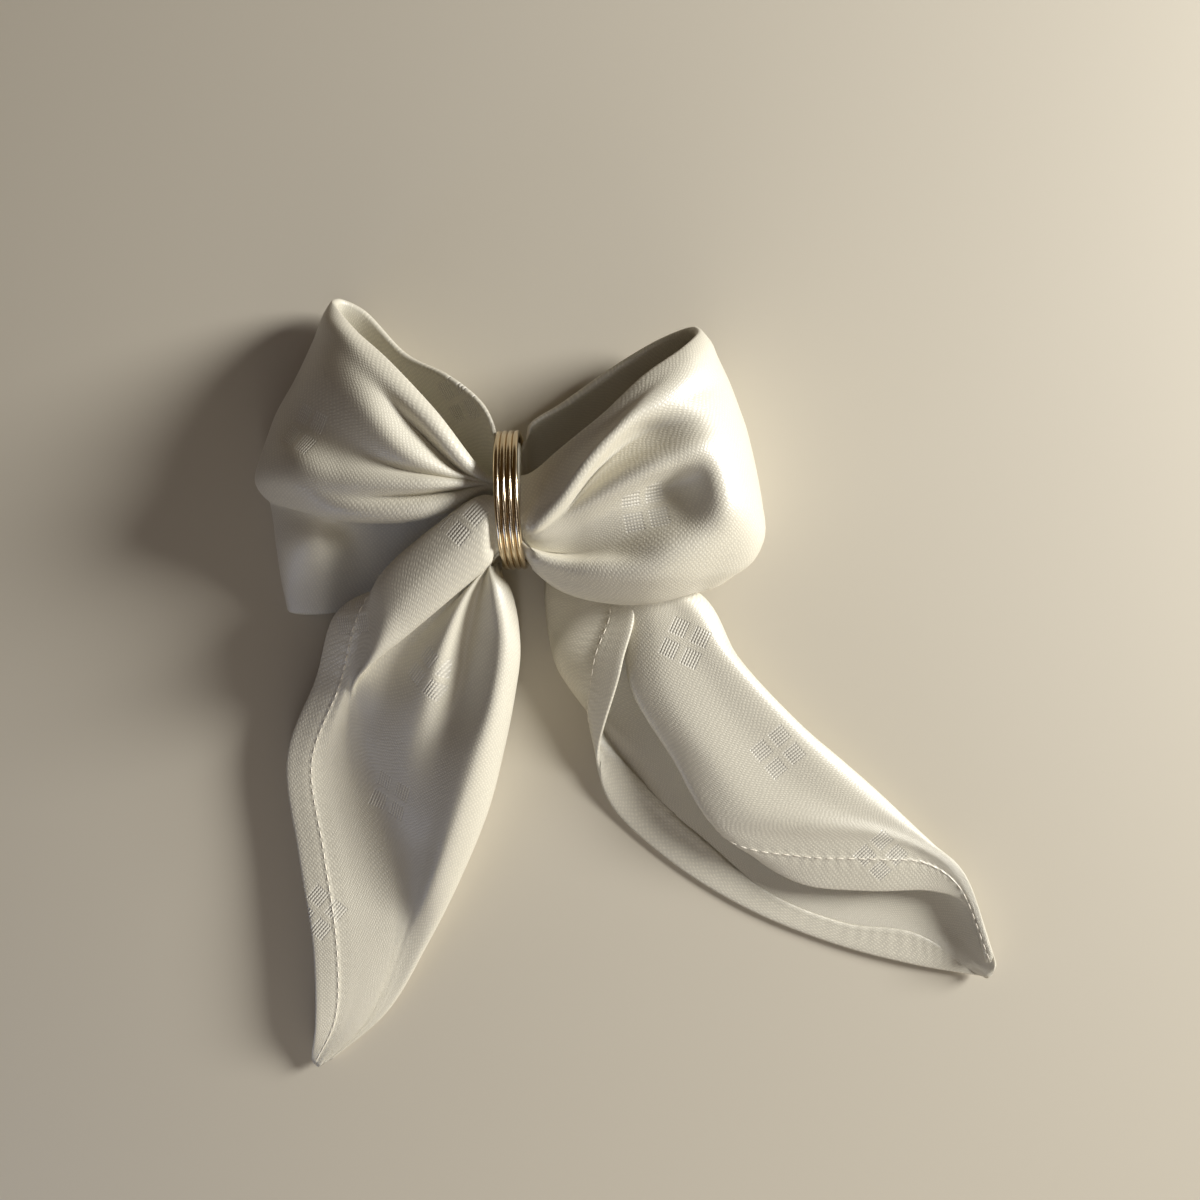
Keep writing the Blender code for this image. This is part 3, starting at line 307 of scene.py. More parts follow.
def curveThrough(marks, points, wanted):
    # smooth curve through points placed at marks along it, read at the wanted marks
    gaps = np.diff(marks)
    slopes = np.diff(points, axis=0) / gaps[:, None]
    tangents = np.empty_like(points)
    tangents[0] = slopes[0]
    tangents[-1] = slopes[-1]
    share = (gaps[1:] / (gaps[:-1] + gaps[1:]))[:, None]
    tangents[1:-1] = slopes[:-1] * share + slopes[1:] * (1.0 - share)
    index = np.clip(np.searchsorted(marks, wanted, side="right") - 1, 0, len(marks) - 2)
    gap = gaps[index][:, None]
    t = (wanted - marks[index])[:, None] / gap
    start = (2 * t**3 - 3 * t**2 + 1) * points[index]
    start += (t**3 - 2 * t**2 + t) * gap * tangents[index]
    end = (3 * t**2 - 2 * t**3) * points[index + 1]
    end += (t**3 - t**2) * gap * tangents[index + 1]
    return start + end


def steps(points, axis=0):
    # distances from each point to the next
    return np.linalg.norm(np.diff(points, axis=axis), axis=-1)


def running(lengths):
    # how far along each point then lies
    return np.concatenate([[0.0], np.cumsum(lengths)])


def spread(lengths, counts):
    # marks at the stations, and the finer marks between them
    marks = running(np.sqrt(np.maximum(lengths, cloth["leastGap"])))
    finer = [np.linspace(marks[k], marks[k + 1], n, endpoint=False) for k, n in enumerate(counts)]
    return marks, np.concatenate(finer + [marks[-1:]])


def foldRows(table):
    return np.array([points for name, points in table.items() if name != "fold"], float)


def loopRows(front, back):
    # the front's fold lines carried round the turn and back to the ring
    frontRows = foldRows(front)
    backRows = foldRows(back)
    across = running(steps(frontRows[:, -1]))
    marks = running(steps(backRows[:, 0]))
    wanted = across / across[-1] * marks[-1]
    carried = [curveThrough(marks, backRows[:, k], wanted) for k in range(backRows.shape[1])]
    return np.concatenate([frontRows, np.stack(carried, axis=1)], axis=1)


def sheetGrid(rows):
    # middle surface of the cloth: a grid of points, first across the folds and then along them,
    # and the place of each fold line in it
    lengths = steps(rows, 1)
    counts = np.maximum(1, np.round(lengths.mean(axis=0) / cloth["gridStep"])).astype(int)
    lines = []
    for line, lineLengths in zip(rows, lengths):
        marks, wanted = spread(lineLengths, counts)
        lines.append(curveThrough(marks, line, wanted))
    lines = np.array(lines)
    lengths = steps(lines)
    wide = np.percentile(lengths, cloth["gridPercent"], axis=1)
    counts = np.maximum(2, np.round(wide / cloth["gridStep"])).astype(int)
    grid = []
    for k in range(lines.shape[1]):
        marks, wanted = spread(lengths[:, k], counts)
        grid.append(curveThrough(marks, lines[:, k], wanted))
    return np.array(grid).transpose(1, 0, 2), running(counts).astype(int)


def flatPlaces(grid):
    # where each point of the grid lay in the flat cloth, in mm across and along the folds
    across = np.percentile(steps(grid), cloth["flatPercent"], axis=1)
    along = steps(grid, 1).mean(axis=0)
    return np.stack(np.meshgrid(running(across), running(along), indexing="ij"), axis=-1)


# the ring's own directions, and the cloth drawn in to its bore


def ringFrame(points):
    c, s = math.cos(ring["turn"]), math.sin(ring["turn"])
    x = points[..., 0] - ring["at"][0]
    y = points[..., 1] - ring["at"][1]
    return x * c + y * s, y * c - x * s, points[..., 2] - ring["at"][2]


def fromRingFrame(along, side, up):
    c, s = math.cos(ring["turn"]), math.sin(ring["turn"])
    x = along * c - side * s + ring["at"][0]
    y = along * s + side * c + ring["at"][1]
    return np.stack([x, y, up + ring["at"][2]], axis=-1)


def squeeze(points):
    along, side, up = ringFrame(points)
    radius = np.hypot(side, up)
    past = np.maximum(np.abs(along) - ring["boreHalf"], 0.0)
    bore = ring["boreClear"] + ring["boreFlare"] * past
    target = np.where((radius < ring["pastWires"]) & (radius > bore), bore, radius)
    share = target / np.maximum(radius, tiny)
    return fromRingFrame(along, side * share, up * share)


def restOnTable(points):
    points[..., 2] = np.where(points[..., 2] < cloth["restFlat"], 0.0, points[..., 2])
    return points


def directions(grid):
    # unit normals, and the unit way across the folds
    along = np.gradient(grid, axis=1)
    across = np.gradient(grid, axis=0)
    normals = np.cross(along, across)
    normals /= np.maximum(np.linalg.norm(normals, axis=2, keepdims=True), tiny)
    across /= np.maximum(np.linalg.norm(across, axis=2, keepdims=True), tiny)
    return normals, across


def pressed(grid):
    # share of its full thickness that the cloth keeps near the ring
    along, side, up = ringFrame(grid)
    away = np.sqrt(along**2 + (cloth["pressedOut"] * np.hypot(side, up)) ** 2)
    drawn = (away - cloth["pressedTo"]) / (cloth["looseFrom"] - cloth["pressedTo"])
    return cloth["pressedShare"] + (1.0 - cloth["pressedShare"]) * np.clip(drawn, 0.0, 1.0)


# skins: each is a net of points, one row for each step along the folds


def roundTheEdges(sheet, turns):
    # a sheet's rows over the top face, and back along the under face
    return np.concatenate([sheet, [sheet[-1]] * turns, sheet[::-1], [sheet[0]] * turns, sheet[:1]])


def closedSkin(grid, flat, half):
    # the two faces of the cloth, joined by a rounded fold at both edges
    normals, across = directions(grid)
    half = half[..., None]
    angles = np.linspace(0.5 * math.pi, -0.5 * math.pi, cloth["edgeSteps"] + 1)[1:-1]
    top = grid + normals * half
    under = grid - normals * half
    far = [grid[-1] + normals[-1] * half[-1] * math.sin(a) + across[-1] * half[-1] * math.cos(a)
           for a in angles]
    near = [grid[0] - normals[0] * half[0] * math.sin(a) - across[0] * half[0] * math.cos(a)
            for a in angles]
    points = np.concatenate([top, far, under[::-1], near, top[:1]])
    flats = roundTheEdges(flat, len(angles))
    # at both ends the faces meet in the middle of the cloth, which closes the skin there
    middle = roundTheEdges(grid, len(angles))
    points = np.concatenate([middle[:, :1], points, middle[:, -1:]], axis=1)
    flats = np.concatenate([flats[:, :1], flats, flats[:, -1:]], axis=1)
    return restOnTable(squeeze(points)).transpose(1, 0, 2), flats.transpose(1, 0, 2)


def innerSkin(grid, flat, half):
    # the layers shut inside a band, one back-and-forth strip a little short of its edges
    short = 2
    grid = grid[short:-short:2, ::2]
    flat = flat[short:-short:2, ::2]
    half = half[short:-short:2, ::2]
    normals, _ = directions(grid)
    points = []
    flats = []
    for k, share in enumerate(cloth["innerLayers"]):
        layer = grid + normals * half[..., None] * share
        points.append(layer[::-1] if k % 2 else layer)
        flats.append(flat[::-1] if k % 2 else flat)
    points = squeeze(np.concatenate(points))
    return points.transpose(1, 0, 2), np.concatenate(flats).transpose(1, 0, 2)


damask = {
    "ground": "D9D3C0",  # ivory satin
    "petal": "DBD6C6",
    "groundRough": 0.45,
    "petalRough": 0.40,
    "specular": 0.85,
    "ior": 1.5,
    "sheen": 0.22,
    "sheenRough": 0.4,
    "sheenTint": "FFF4DE",
    "threadPitch": 0.78,  # real threads are about 0.25 mm, too fine to show, so drawn coarser
    "floatPitch": 1.1,  # how long a thread lies on top before it dips
    "threadTurn": 38,  # degrees from the folds
    "threadHeight": 0.085,
    # painted shade: the colour is darker in the weave's gaps and lighter on the thread tops
    "paintedThreadShade": (0.8, 1.1),  # gaps to tops
    "yarnScale": 900.0,  # per metre, for slubs of about 1.1 mm
    "yarnShare": 0.45,
    "driftScale": 22.0,  # per metre, for a slow change of tone over 45 mm
    "drift": (0.95, 1.05),
    "ribPitch": 0.88,
    "ribHeight": 0.18,
    "ribCrossed": 0.4,  # share of the ribs that others cross
    "petalAt": 3.5,  # from the motif's centre to a petal's, along both threads
    "petalHalf": 2.6,
    "petalBlur": 0.2,
    "motifPitch": 40.0,  # from one four-petal motif to the next
    "motifClear": 36.0,  # the repeat keeps this far from each motif that shows
    "motifRows": 12,  # rows of the repeat each way, enough for a loop
    "motifReach": 13.0,  # a motif that shows takes the faces this near
    "motifDepth": 4.0,  # and those of its own layer alone
    "upperFirst": 0.1,  # how much height counts in finding the layer that shows
    "hiddenFrom": 0.56,  # share of a loop's length, past the part that shows
    "noMotif": 900.0,  # written where there is no motif, well past its petals
    "puckerHeight": 0.07,
    "puckerReach": (0.4, 4.5),  # from the stitching
    "grooveDepth": 0.12,
    "grooveReach": (0.2, 1.1),
}

# the motifs that show: x, y and turn in degrees, seen from above
seenMotifs = {
    "left loop": ((-55.6, 18.7, 11),),
    "right loop": ((38.4, -3.6, 56),),
    "left tail": ((-22.8, -49.6, 7), (-37.5, -88.6, 22), (-58.7, -123.2, 5), (-12.8, -5.4, 0),
        (-45.3, -32.5, 45)),
    "right tail": ((51.6, -42.5, 20), (79.6, -75.6, -5), (112.5, -106.7, 0)),
}


def placeMotifs(name, grid, flat):
    # each motif that shows, with its directions on the cloth, and its place in the flat cloth
    normals, _ = directions(grid)
    spots = []
    taken = []
    for x, y, turn in seenMotifs[name]:
        height = damask["upperFirst"] * grid[..., 2]
        away = (grid[..., 0] - x) ** 2 + (grid[..., 1] - y) ** 2 - height
        at = np.unravel_index(np.argmin(away), away.shape)
        up = normals[at]
        across = np.array([math.cos(math.radians(turn)), math.sin(math.radians(turn)), 0.0])
        across -= up * (across @ up)
        across /= np.linalg.norm(across)
        spots.append((grid[at], across, np.cross(up, across), up))
        taken.append(flat[at])
    return spots, taken


def repeatMotifs(taken, hidden):
    # the repeat over the hidden cloth, in step with the first motif that shows
    apart = damask["motifPitch"] / math.sqrt(2.0)
    clear = damask["motifClear"]
    marks = []
    for i in range(-damask["motifRows"], damask["motifRows"] + 1):
        for j in range(-damask["motifRows"], damask["motifRows"] + 1):
            mark = taken[0] + apart * np.array([i + j, i - j])
            if mark[1] >= hidden and min(np.linalg.norm(mark - other) for other in taken) > clear:
                marks.append(mark)
    return marks


def motifPlaces(corners, flatCorners, spots, repeat):
    # each face takes its nearest motif of the repeat by its place in the flat cloth, or one of the
    # motifs that show, which lie square on the cloth there
    middle = flatCorners.mean(axis=1)
    best = np.full(len(middle), np.inf)
    nearest = np.full_like(middle, -damask["noMotif"])
    for centre in repeat:
        distance = ((middle - centre) ** 2).sum(axis=1)
        closer = distance < best
        best[closer] = distance[closer]
        nearest[closer] = centre
    places = flatCorners - nearest[:, None]
    for spot, across, along, up in spots:
        reach = corners - spot
        away = reach.mean(axis=1)
        near = np.linalg.norm(away, axis=1) < damask["motifReach"]
        near &= np.abs(away @ up) < damask["motifDepth"]
        places[near] = np.stack([reach[near] @ across, reach[near] @ along], axis=-1)
    return places


def meshFrom(bm, name):
    mesh = bpy.data.meshes.new(name)
    bm.to_mesh(mesh)
    bm.free()
    return mesh


def putInScene(name, data):
    thing = bpy.data.objects.new(name, data)
    bpy.context.scene.collection.objects.link(thing)
    return thing


def netMesh(name, points, flats, hems, spots, repeat):
    # a plain grid with its points moved to the net, and its three flat maps
    rows, columns = points.shape[:2]
    bm = bmesh.new()
    bmesh.ops.create_grid(bm, x_segments=columns - 1, y_segments=rows - 1, size=1.0)
    mesh = meshFrom(bm, name)
    place = np.empty(rows * columns * 3)
    mesh.vertices.foreach_get("co", place)
    place = place.reshape(-1, 3)
    column = np.rint((place[:, 0] + 1.0) * 0.5 * (columns - 1)).astype(int)
    row = np.rint((place[:, 1] + 1.0) * 0.5 * (rows - 1)).astype(int)
    place = points[row, column]
    mesh.vertices.foreach_set("co", (place * mm).astype(np.float32).ravel())
    corner = np.empty(len(mesh.loops), dtype=np.int32)
    mesh.loops.foreach_get("vertex_index", corner)
    flatCorners = flats[row, column][corner]
    hemCorners = hems[row, column][corner]
    faces = place[corner].reshape(-1, 4, 3)
    motifCorners = motifPlaces(faces, flatCorners.reshape(-1, 4, 2), spots, repeat)
    for layer, values in (("flat", flatCorners), ("motif", motifCorners), ("hem", hemCorners)):
        uv = mesh.uv_layers.new(name=layer)
        uv.data.foreach_set("uv", (values * mm).astype(np.float32).ravel())
    return mesh


# the napkin: two loops, two tails, the gathers in the ring


def loopSkins(name, front, back):
    grid, _ = sheetGrid(loopRows(front, back))
    flat = flatPlaces(grid)
    half = 0.5 * cloth["bandThick"] * pressed(grid)
    spots, taken = placeMotifs(name, grid, flat)
    repeat = repeatMotifs(taken, damask["hiddenFrom"] * flat[0, -1, 1])
    skins = []
    for layer, skin in (("skin", closedSkin), ("layers", innerSkin)):
        points, flats = skin(grid, flat, half)
        hem = np.full_like(flats, cloth["noHem"])
        skins.append(netMesh(name + " " + layer, points, flats, hem, spots, repeat))
    return skins


def tailSkins(name, table):
    # a leaf is thicker where its edge is turned, and the stitching lines are returned with it
    grid, places = sheetGrid(foldRows(table))
    flat = flatPlaces(grid)
    across = flat[:, 0, 0]
    lines = (across[places[1]], across[-1] - cloth["hemWidth"])
    inside = np.maximum(lines[0] - flat[..., 0], flat[..., 0] - lines[1])
    turned = np.clip((inside + cloth["hemLead"]) / cloth["hemRise"], 0.0, 1.0)
    turned = turned * turned * (3.0 - 2.0 * turned)
    thick = cloth["leafThick"] + (cloth["hemThick"] - cloth["leafThick"]) * turned
    half = 0.5 * thick * pressed(grid)
    points, flats = closedSkin(grid, flat, half)
    hem = flats.copy()
    underHem = (flats[..., 0] - lines[1]) * cloth["underSeam"]
    hem[..., 0] = np.maximum(lines[0] - flats[..., 0], underHem)
    spots, _ = placeMotifs(name, grid, flat)
    normals, _ = directions(grid)
    threads = []
    for line, faces in zip(lines, ((1.0, -1.0), (1.0,))):
        place = np.interp(line, across, np.arange(len(across)))
        low = int(place)
        high = min(low + 1, len(across) - 1)
        share = place - low
        run = grid[low] * (1.0 - share) + grid[high] * share
        up = normals[low] * (1.0 - share) + normals[high] * share
        reach = (half[low] * (1.0 - share) + half[high] * share)[:, None]
        threads += [(run + up * reach * face, up * face) for face in faces]
    return [netMesh(name, points, flats, hem, spots, [])], threads


def waistSkin():
    # gathered cloth in the bore: a pleated barrel that narrows at its two ends
    stations = ((-1.0, 0.30), (-1.0, 0.80), (-0.9, 0.95), (-0.5, 1.0), (0.0, 1.0), (0.5, 1.0),
                (0.9, 0.95), (1.0, 0.80), (1.0, 0.30))
    angles = np.linspace(0.0, 2.0 * math.pi, waist["pleatSteps"] * waist["pleats"] + 1)
    pleat = waist["pleatDepth"] * np.cos(0.5 * waist["pleats"] * angles) ** 2
    points = []
    flats = []
    for along, share in stations:
        radius = (waist["radius"] - pleat) * share
        points.append(fromRingFrame(np.full_like(angles, along * waist["halfLength"]),
                                    radius * np.cos(angles), radius * np.sin(angles)))
        flatAlong = np.full_like(angles, along * waist["flatHalf"])
        flats.append(np.stack([angles * waist["radius"], flatAlong], axis=-1))
    flats = np.array(flats)
    hem = np.full_like(flats, cloth["noHem"])
    return netMesh("waist", np.array(points), flats, hem, [], [])


def stitchMeshes(threads):
    # short raised lengths of thread that dip into the cloth at both ends
    meshes = []
    for run, up in threads:
        marks = running(steps(run))
        along, side, _ = ringFrame(run)
        fromRing = np.hypot(along, side)
        for start in np.arange(stitches["first"], marks[-1] - stitches["stop"], stitches["pitch"]):
            ends = [start, start + stitches["length"]]
            a, b = (np.array([np.interp(end, marks, run[:, k]) for k in range(3)]) for end in ends)
            if np.interp(start, marks, fromRing) < stitches["clearOfRing"]:
                continue
            if min(a[2], b[2]) < stitches["lowest"]:
                continue
            normal = Vector([float(np.interp(start, marks, up[:, k])) for k in range(3)])
            normal.normalize()
            middle = Vector(((a + b) * 0.5).tolist())
            way = Vector((b - a).tolist())
            length = way.length
            way.normalize()
            across = normal.cross(way).normalized()
            turn = Matrix((way, across, normal)).transposed().to_4x4()
            tall = stitches["radius"] * stitches["tall"]
            size = Matrix.Diagonal((0.5 * length, stitches["radius"], tall, 1.0))
            bm = bmesh.new()
            bmesh.ops.create_uvsphere(bm, u_segments=8, v_segments=6, radius=1.0,
                                      matrix=Matrix.Rotation(0.5 * math.pi, 4, "Y"))
            whole = Matrix.Translation(middle + normal * stitches["proud"]) @ turn @ size
            bmesh.ops.transform(bm, verts=bm.verts, matrix=Matrix.Scale(mm, 4) @ whole)
            meshes.append(meshFrom(bm, "stitch"))
    return meshes


def wireMeshes():
    # each wire is a round section spun once round the hoop's own axis
    meshes = []
    turn = Matrix.Translation(Vector(ring["at"])) @ Matrix.Rotation(ring["turn"], 4, "Z")
    for k in range(ring["wires"]):
        along = (k - 0.5 * (ring["wires"] - 1)) * ring["wirePitch"]
        bm = bmesh.new()
        bmesh.ops.create_circle(bm, segments=ring["wireSides"], radius=ring["wireRadius"],
                                cap_ends=False)
        bmesh.ops.translate(bm, verts=bm.verts, vec=(along, ring["hoopRadius"], 0.0))
        bmesh.ops.spin(bm, geom=bm.verts[:] + bm.edges[:], cent=(along, 0.0, 0.0),
                       axis=(1.0, 0.0, 0.0), angle=2.0 * math.pi, steps=ring["hoopSteps"],
                       use_merge=True, use_duplicate=False)
        bmesh.ops.transform(bm, verts=bm.verts, matrix=Matrix.Scale(mm, 4) @ turn)
        bmesh.ops.remove_doubles(bm, verts=bm.verts, dist=weldGap)
        bmesh.ops.recalc_face_normals(bm, faces=bm.faces)
        meshes.append(meshFrom(bm, "wire"))
    return meshes


def finishPiece(name, meshes, material):
    # the parts of a piece joined in one mesh, and moved from the tables' zero to the CAD's
    bm = bmesh.new()
    for mesh in meshes:
        bm.from_mesh(mesh)
        bpy.data.meshes.remove(mesh)
    bmesh.ops.remove_doubles(bm, verts=bm.verts, dist=weldGap)
    bmesh.ops.translate(bm, verts=bm.verts, vec=planShift)
    joined = meshFrom(bm, name)
    joined.shade_smooth()
    joined.materials.append(material)
    return putInScene(name, joined)


# materials


def linear(code):
    # sRGB hex to linear RGBA
    parts = [int(code[i:i + 2], 16) / 255.0 for i in (0, 2, 4)]
    return [c / 12.92 if c <= 0.04045 else ((c + 0.055) / 1.055) ** 2.4 for c in parts] + [1.0]


def bandScale(pitch):
    # a wave texture's scale for bands this far apart
    return math.pi / (10.0 * pitch)


def fillSockets(tree, node, links):
    # links fill sockets from other nodes' outputs or with values
    for socket, source in links.items():
        if isinstance(source, bpy.types.NodeSocket):
            tree.links.new(source, node.inputs[socket])
        else:
            node.inputs[socket].default_value = source


def addNode(tree, kind, settings, links):
    # a node with its settings and links
    node = tree.nodes.new(kind)
    for key, value in settings.items():
        setattr(node, key, value)
    fillSockets(tree, node, links)
    return node.outputs


def startMaterial(name):
    material = bpy.data.materials.new(name)
    material.use_nodes = True
    return material, material.node_tree, material.node_tree.nodes["Principled BSDF"]


def damaskMaterial():
    # satin damask, woven cotton and silk: long floats give a soft broad gloss, and the petals are
    # woven the other way, so they catch the light apart from the ground and show their ribs
    material, tree, shader = startMaterial("ivory satin damask")
    flat = addNode(tree, "ShaderNodeUVMap", {"uv_map": "flat"}, {})[0]
    motif = addNode(tree, "ShaderNodeUVMap", {"uv_map": "motif"}, {})[0]
    hem = addNode(tree, "ShaderNodeUVMap", {"uv_map": "hem"}, {})[0]

    # petals: four squares on their corners round the motif's centre, mapped in mm
    turned = addNode(tree, "ShaderNodeMapping", {},
                     {"Vector": motif, "Rotation": (0.0, 0.0, math.radians(45)),
                      "Scale": (1.0 / mm, 1.0 / mm, 1.0 / mm)})[0]
    apart = addNode(tree, "ShaderNodeSeparateXYZ", {}, {0: turned})
    edges = []
    for axis in (0, 1):
        size = addNode(tree, "ShaderNodeMath", {"operation": "ABSOLUTE"}, {0: apart[axis]})[0]
        off = addNode(tree, "ShaderNodeMath", {"operation": "SUBTRACT"},
                      {0: size, 1: damask["petalAt"]})[0]
        edges.append(addNode(tree, "ShaderNodeMath", {"operation": "ABSOLUTE"}, {0: off})[0])
    outside = addNode(tree, "ShaderNodeMath", {"operation": "MAXIMUM"},
                      {0: edges[0], 1: edges[1]})[0]
    petal = addNode(tree, "ShaderNodeMapRange", {},
                    {"Value": outside, "From Min": damask["petalHalf"] - damask["petalBlur"],
                     "From Max": damask["petalHalf"] + damask["petalBlur"],
                     "To Min": 1.0, "To Max": 0.0})[0]
    ribs = [addNode(tree, "ShaderNodeTexWave", {"bands_direction": way},
                    {"Vector": turned, "Scale": bandScale(damask["ribPitch"]), "Distortion": 0.7,
                     "Detail": 1.0, "Detail Scale": 2.0})[1]
            for way in ("X", "Y")]
    crossed = addNode(tree, "ShaderNodeMath", {"operation": "MULTIPLY"},
                      {0: ribs[0], 1: ribs[1]})[0]
    rib = addNode(tree, "ShaderNodeMix", {"data_type": "FLOAT"},
                  {0: damask["ribCrossed"], 2: ribs[0], 3: crossed})[0]

    # ground: threads that rise and dip in a fine grain, broken by uneven yarn
    turn = (0.0, 0.0, math.radians(damask["threadTurn"]))
    onThreads = addNode(tree, "ShaderNodeMapping", {}, {"Vector": flat, "Rotation": turn})[0]
    threads = [addNode(tree, "ShaderNodeTexWave", {"bands_direction": way},
                       {"Vector": onThreads, "Scale": bandScale(pitch * mm), "Distortion": 4.5,
                        "Detail": 2.0, "Detail Scale": 1.2, "Detail Roughness": 0.6})[1]
               for way, pitch in (("X", damask["threadPitch"]), ("Y", damask["floatPitch"]))]
    grain = addNode(tree, "ShaderNodeMath", {"operation": "MULTIPLY"},
                    {0: threads[0], 1: threads[1]})[0]
    yarn = addNode(tree, "ShaderNodeTexNoise", {},
                   {"Vector": onThreads, "Scale": damask["yarnScale"], "Detail": 3.0,
                    "Roughness": 0.6})[0]
    ground = addNode(tree, "ShaderNodeMix", {"data_type": "FLOAT"},
                     {0: damask["yarnShare"], 2: grain, 3: yarn})[0]
    weave = addNode(tree, "ShaderNodeMix", {"data_type": "FLOAT"}, {0: petal, 2: ground, 3: rib})[0]

    # hem: the stitching pulls a shallow groove and small puckers across the turned edge
    hemApart = addNode(tree, "ShaderNodeSeparateXYZ", {}, {0: hem})
    fromSeam = addNode(tree, "ShaderNodeMath", {"operation": "ABSOLUTE"}, {0: hemApart[0]})[0]
    groove, near = [addNode(tree, "ShaderNodeMapRange", {"interpolation_type": "SMOOTHSTEP"},
                            {"Value": fromSeam, "From Min": start * mm, "From Max": end * mm,
                             "To Min": 1.0, "To Max": 0.0})[0]
                    for start, end in (damask["grooveReach"], damask["puckerReach"])]
    puckers = addNode(tree, "ShaderNodeTexWave", {"bands_direction": "Y"},
                      {"Vector": hem, "Scale": bandScale(stitches["pitch"] * mm), "Distortion": 3.0,
                       "Detail": 2.0, "Detail Scale": 0.8})[1]
    pulled = addNode(tree, "ShaderNodeMath", {"operation": "MULTIPLY"}, {0: near, 1: puckers})[0]

    # heights in metres, higher in the petals
    relief = addNode(tree, "ShaderNodeMapRange", {},
                     {"Value": petal, "To Min": damask["threadHeight"] * mm,
                      "To Max": damask["ribHeight"] * mm})[0]
    height = addNode(tree, "ShaderNodeMath", {"operation": "MULTIPLY"}, {0: weave, 1: relief})[0]
    for part, size in ((pulled, damask["puckerHeight"]), (groove, -damask["grooveDepth"])):
        height = addNode(tree, "ShaderNodeMath", {"operation": "MULTIPLY_ADD"},
                         {0: part, 1: size * mm, 2: height})[0]
    bump = addNode(tree, "ShaderNodeBump", {},
                   {"Strength": 1.0, "Distance": 1.0, "Height": height})[0]

    # colour: petals a touch lighter, painted shade darkening the threads' gaps where the bump dips,
    # slow change over the cloth
    place = addNode(tree, "ShaderNodeTexCoord", {}, {})[3]
    slow = addNode(tree, "ShaderNodeTexNoise", {},
                   {"Vector": place, "Scale": damask["driftScale"], "Detail": 2.0})[0]
    base = addNode(tree, "ShaderNodeMix", {"data_type": "RGBA"},
                   {0: petal, 6: linear(damask["ground"]), 7: linear(damask["petal"])})[2]
    shades = ((weave, damask["paintedThreadShade"]), (slow, damask["drift"]))
    shade, drift = [addNode(tree, "ShaderNodeMapRange", {},
                            {"Value": source, "To Min": least, "To Max": most})[0]
                    for source, (least, most) in shades]
    tone = addNode(tree, "ShaderNodeMath", {"operation": "MULTIPLY"}, {0: shade, 1: drift})[0]
    colour = addNode(tree, "ShaderNodeVectorMath", {"operation": "SCALE"},
                     {0: base, "Scale": tone})[0]
    rough = addNode(tree, "ShaderNodeMix", {"data_type": "FLOAT"},
                    {0: petal, 2: damask["groundRough"], 3: damask["petalRough"]})[0]
    fillSockets(tree, shader, {
        "Base Color": colour,
        "Roughness": rough,
        "Normal": bump,
        "Specular IOR Level": damask["specular"],
        "IOR": damask["ior"],
        "Sheen Weight": damask["sheen"],
        "Sheen Roughness": damask["sheenRough"],
        "Sheen Tint": linear(damask["sheenTint"]),
    })
    return material


thread = {
    "colour": "F0E8D6",
    "rough": 0.45,
    "sheen": 0.2,
    "twistPitch": 0.3,
    # painted shade: darker bands where the twist's grooves would be shaded
    "paintedTwistShade": (0.82, 1.05),
}


def threadMaterial():
    # polyester sewing thread, twisted: a finer, brighter gloss than the cloth
    material, tree, shader = startMaterial("ivory sewing thread")
    place = addNode(tree, "ShaderNodeTexCoord", {}, {})[3]
    twist = addNode(tree, "ShaderNodeTexWave", {"bands_direction": "DIAGONAL"},
                    {"Vector": place, "Scale": bandScale(thread["twistPitch"] * mm),
                     "Distortion": 1.0})[1]
    # painted shade: the thread has no bump, so its twist shows only as darker colour bands
    tone = addNode(tree, "ShaderNodeMapRange", {},
                   {"Value": twist, "To Min": thread["paintedTwistShade"][0],
                    "To Max": thread["paintedTwistShade"][1]})[0]
    colour = addNode(tree, "ShaderNodeVectorMath", {"operation": "SCALE"},
                     {0: linear(thread["colour"])[:3], "Scale": tone})[0]
    fillSockets(tree, shader, {
        "Base Color": colour,
        "Roughness": thread["rough"],
        "Sheen Weight": thread["sheen"],
    })
    return material


gilt = {
    "colour": "DCCAAB",
    "rough": (0.17, 0.23),  # polished to handled
    "handledScale": 120.0,  # per metre, for patches of about 8 mm
    "drawnScale": (7000.0, 60.0, 60.0),  # per metre, for lines 0.14 mm wide and 17 mm long
    "drawnShade": (0.9, 1.06),
}


def giltMaterial():
    # brass wire, drawn and lightly gilt: drawing leaves fine lines along it, and handling dulls it
    material, tree, shader = startMaterial("pale gilt brass wire")
    place = addNode(tree, "ShaderNodeTexCoord", {}, {})[3]
    lines = addNode(tree, "ShaderNodeMapping", {},
                    {"Vector": place, "Scale": gilt["drawnScale"]})[0]
    drawn = addNode(tree, "ShaderNodeTexNoise", {},
                    {"Vector": lines, "Scale": 1.0, "Detail": 2.0})[0]
    dull = addNode(tree, "ShaderNodeTexNoise", {},
                   {"Vector": place, "Scale": gilt["handledScale"], "Detail": 2.0})[0]
    rough = addNode(tree, "ShaderNodeMapRange", {},
                    {"Value": dull, "From Min": 0.35, "From Max": 0.7, "To Min": gilt["rough"][0],
                     "To Max": gilt["rough"][1]})[0]
    tone = addNode(tree, "ShaderNodeMapRange", {},
                   {"Value": drawn, "To Min": gilt["drawnShade"][0],
                    "To Max": gilt["drawnShade"][1]})[0]
    colour = addNode(tree, "ShaderNodeVectorMath", {"operation": "SCALE"},
                     {0: linear(gilt["colour"])[:3], "Scale": tone})[0]
    fillSockets(tree, shader, {"Base Color": colour, "Roughness": rough, "Metallic": 1.0})
    return material


# moves the tables' ring to where the CAD's stands
ringLow, ringHigh = (np.array(corner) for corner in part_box("ring"))
planShift = Vector(((ringLow + ringHigh) * 0.5).tolist()) - Vector(ring["at"]) * mm
planShift.z = 0.0

damaskCloth = damaskMaterial()
sewingThread = threadMaterial()
giltWire = giltMaterial()
print("materials: damask, thread, gilt wire")

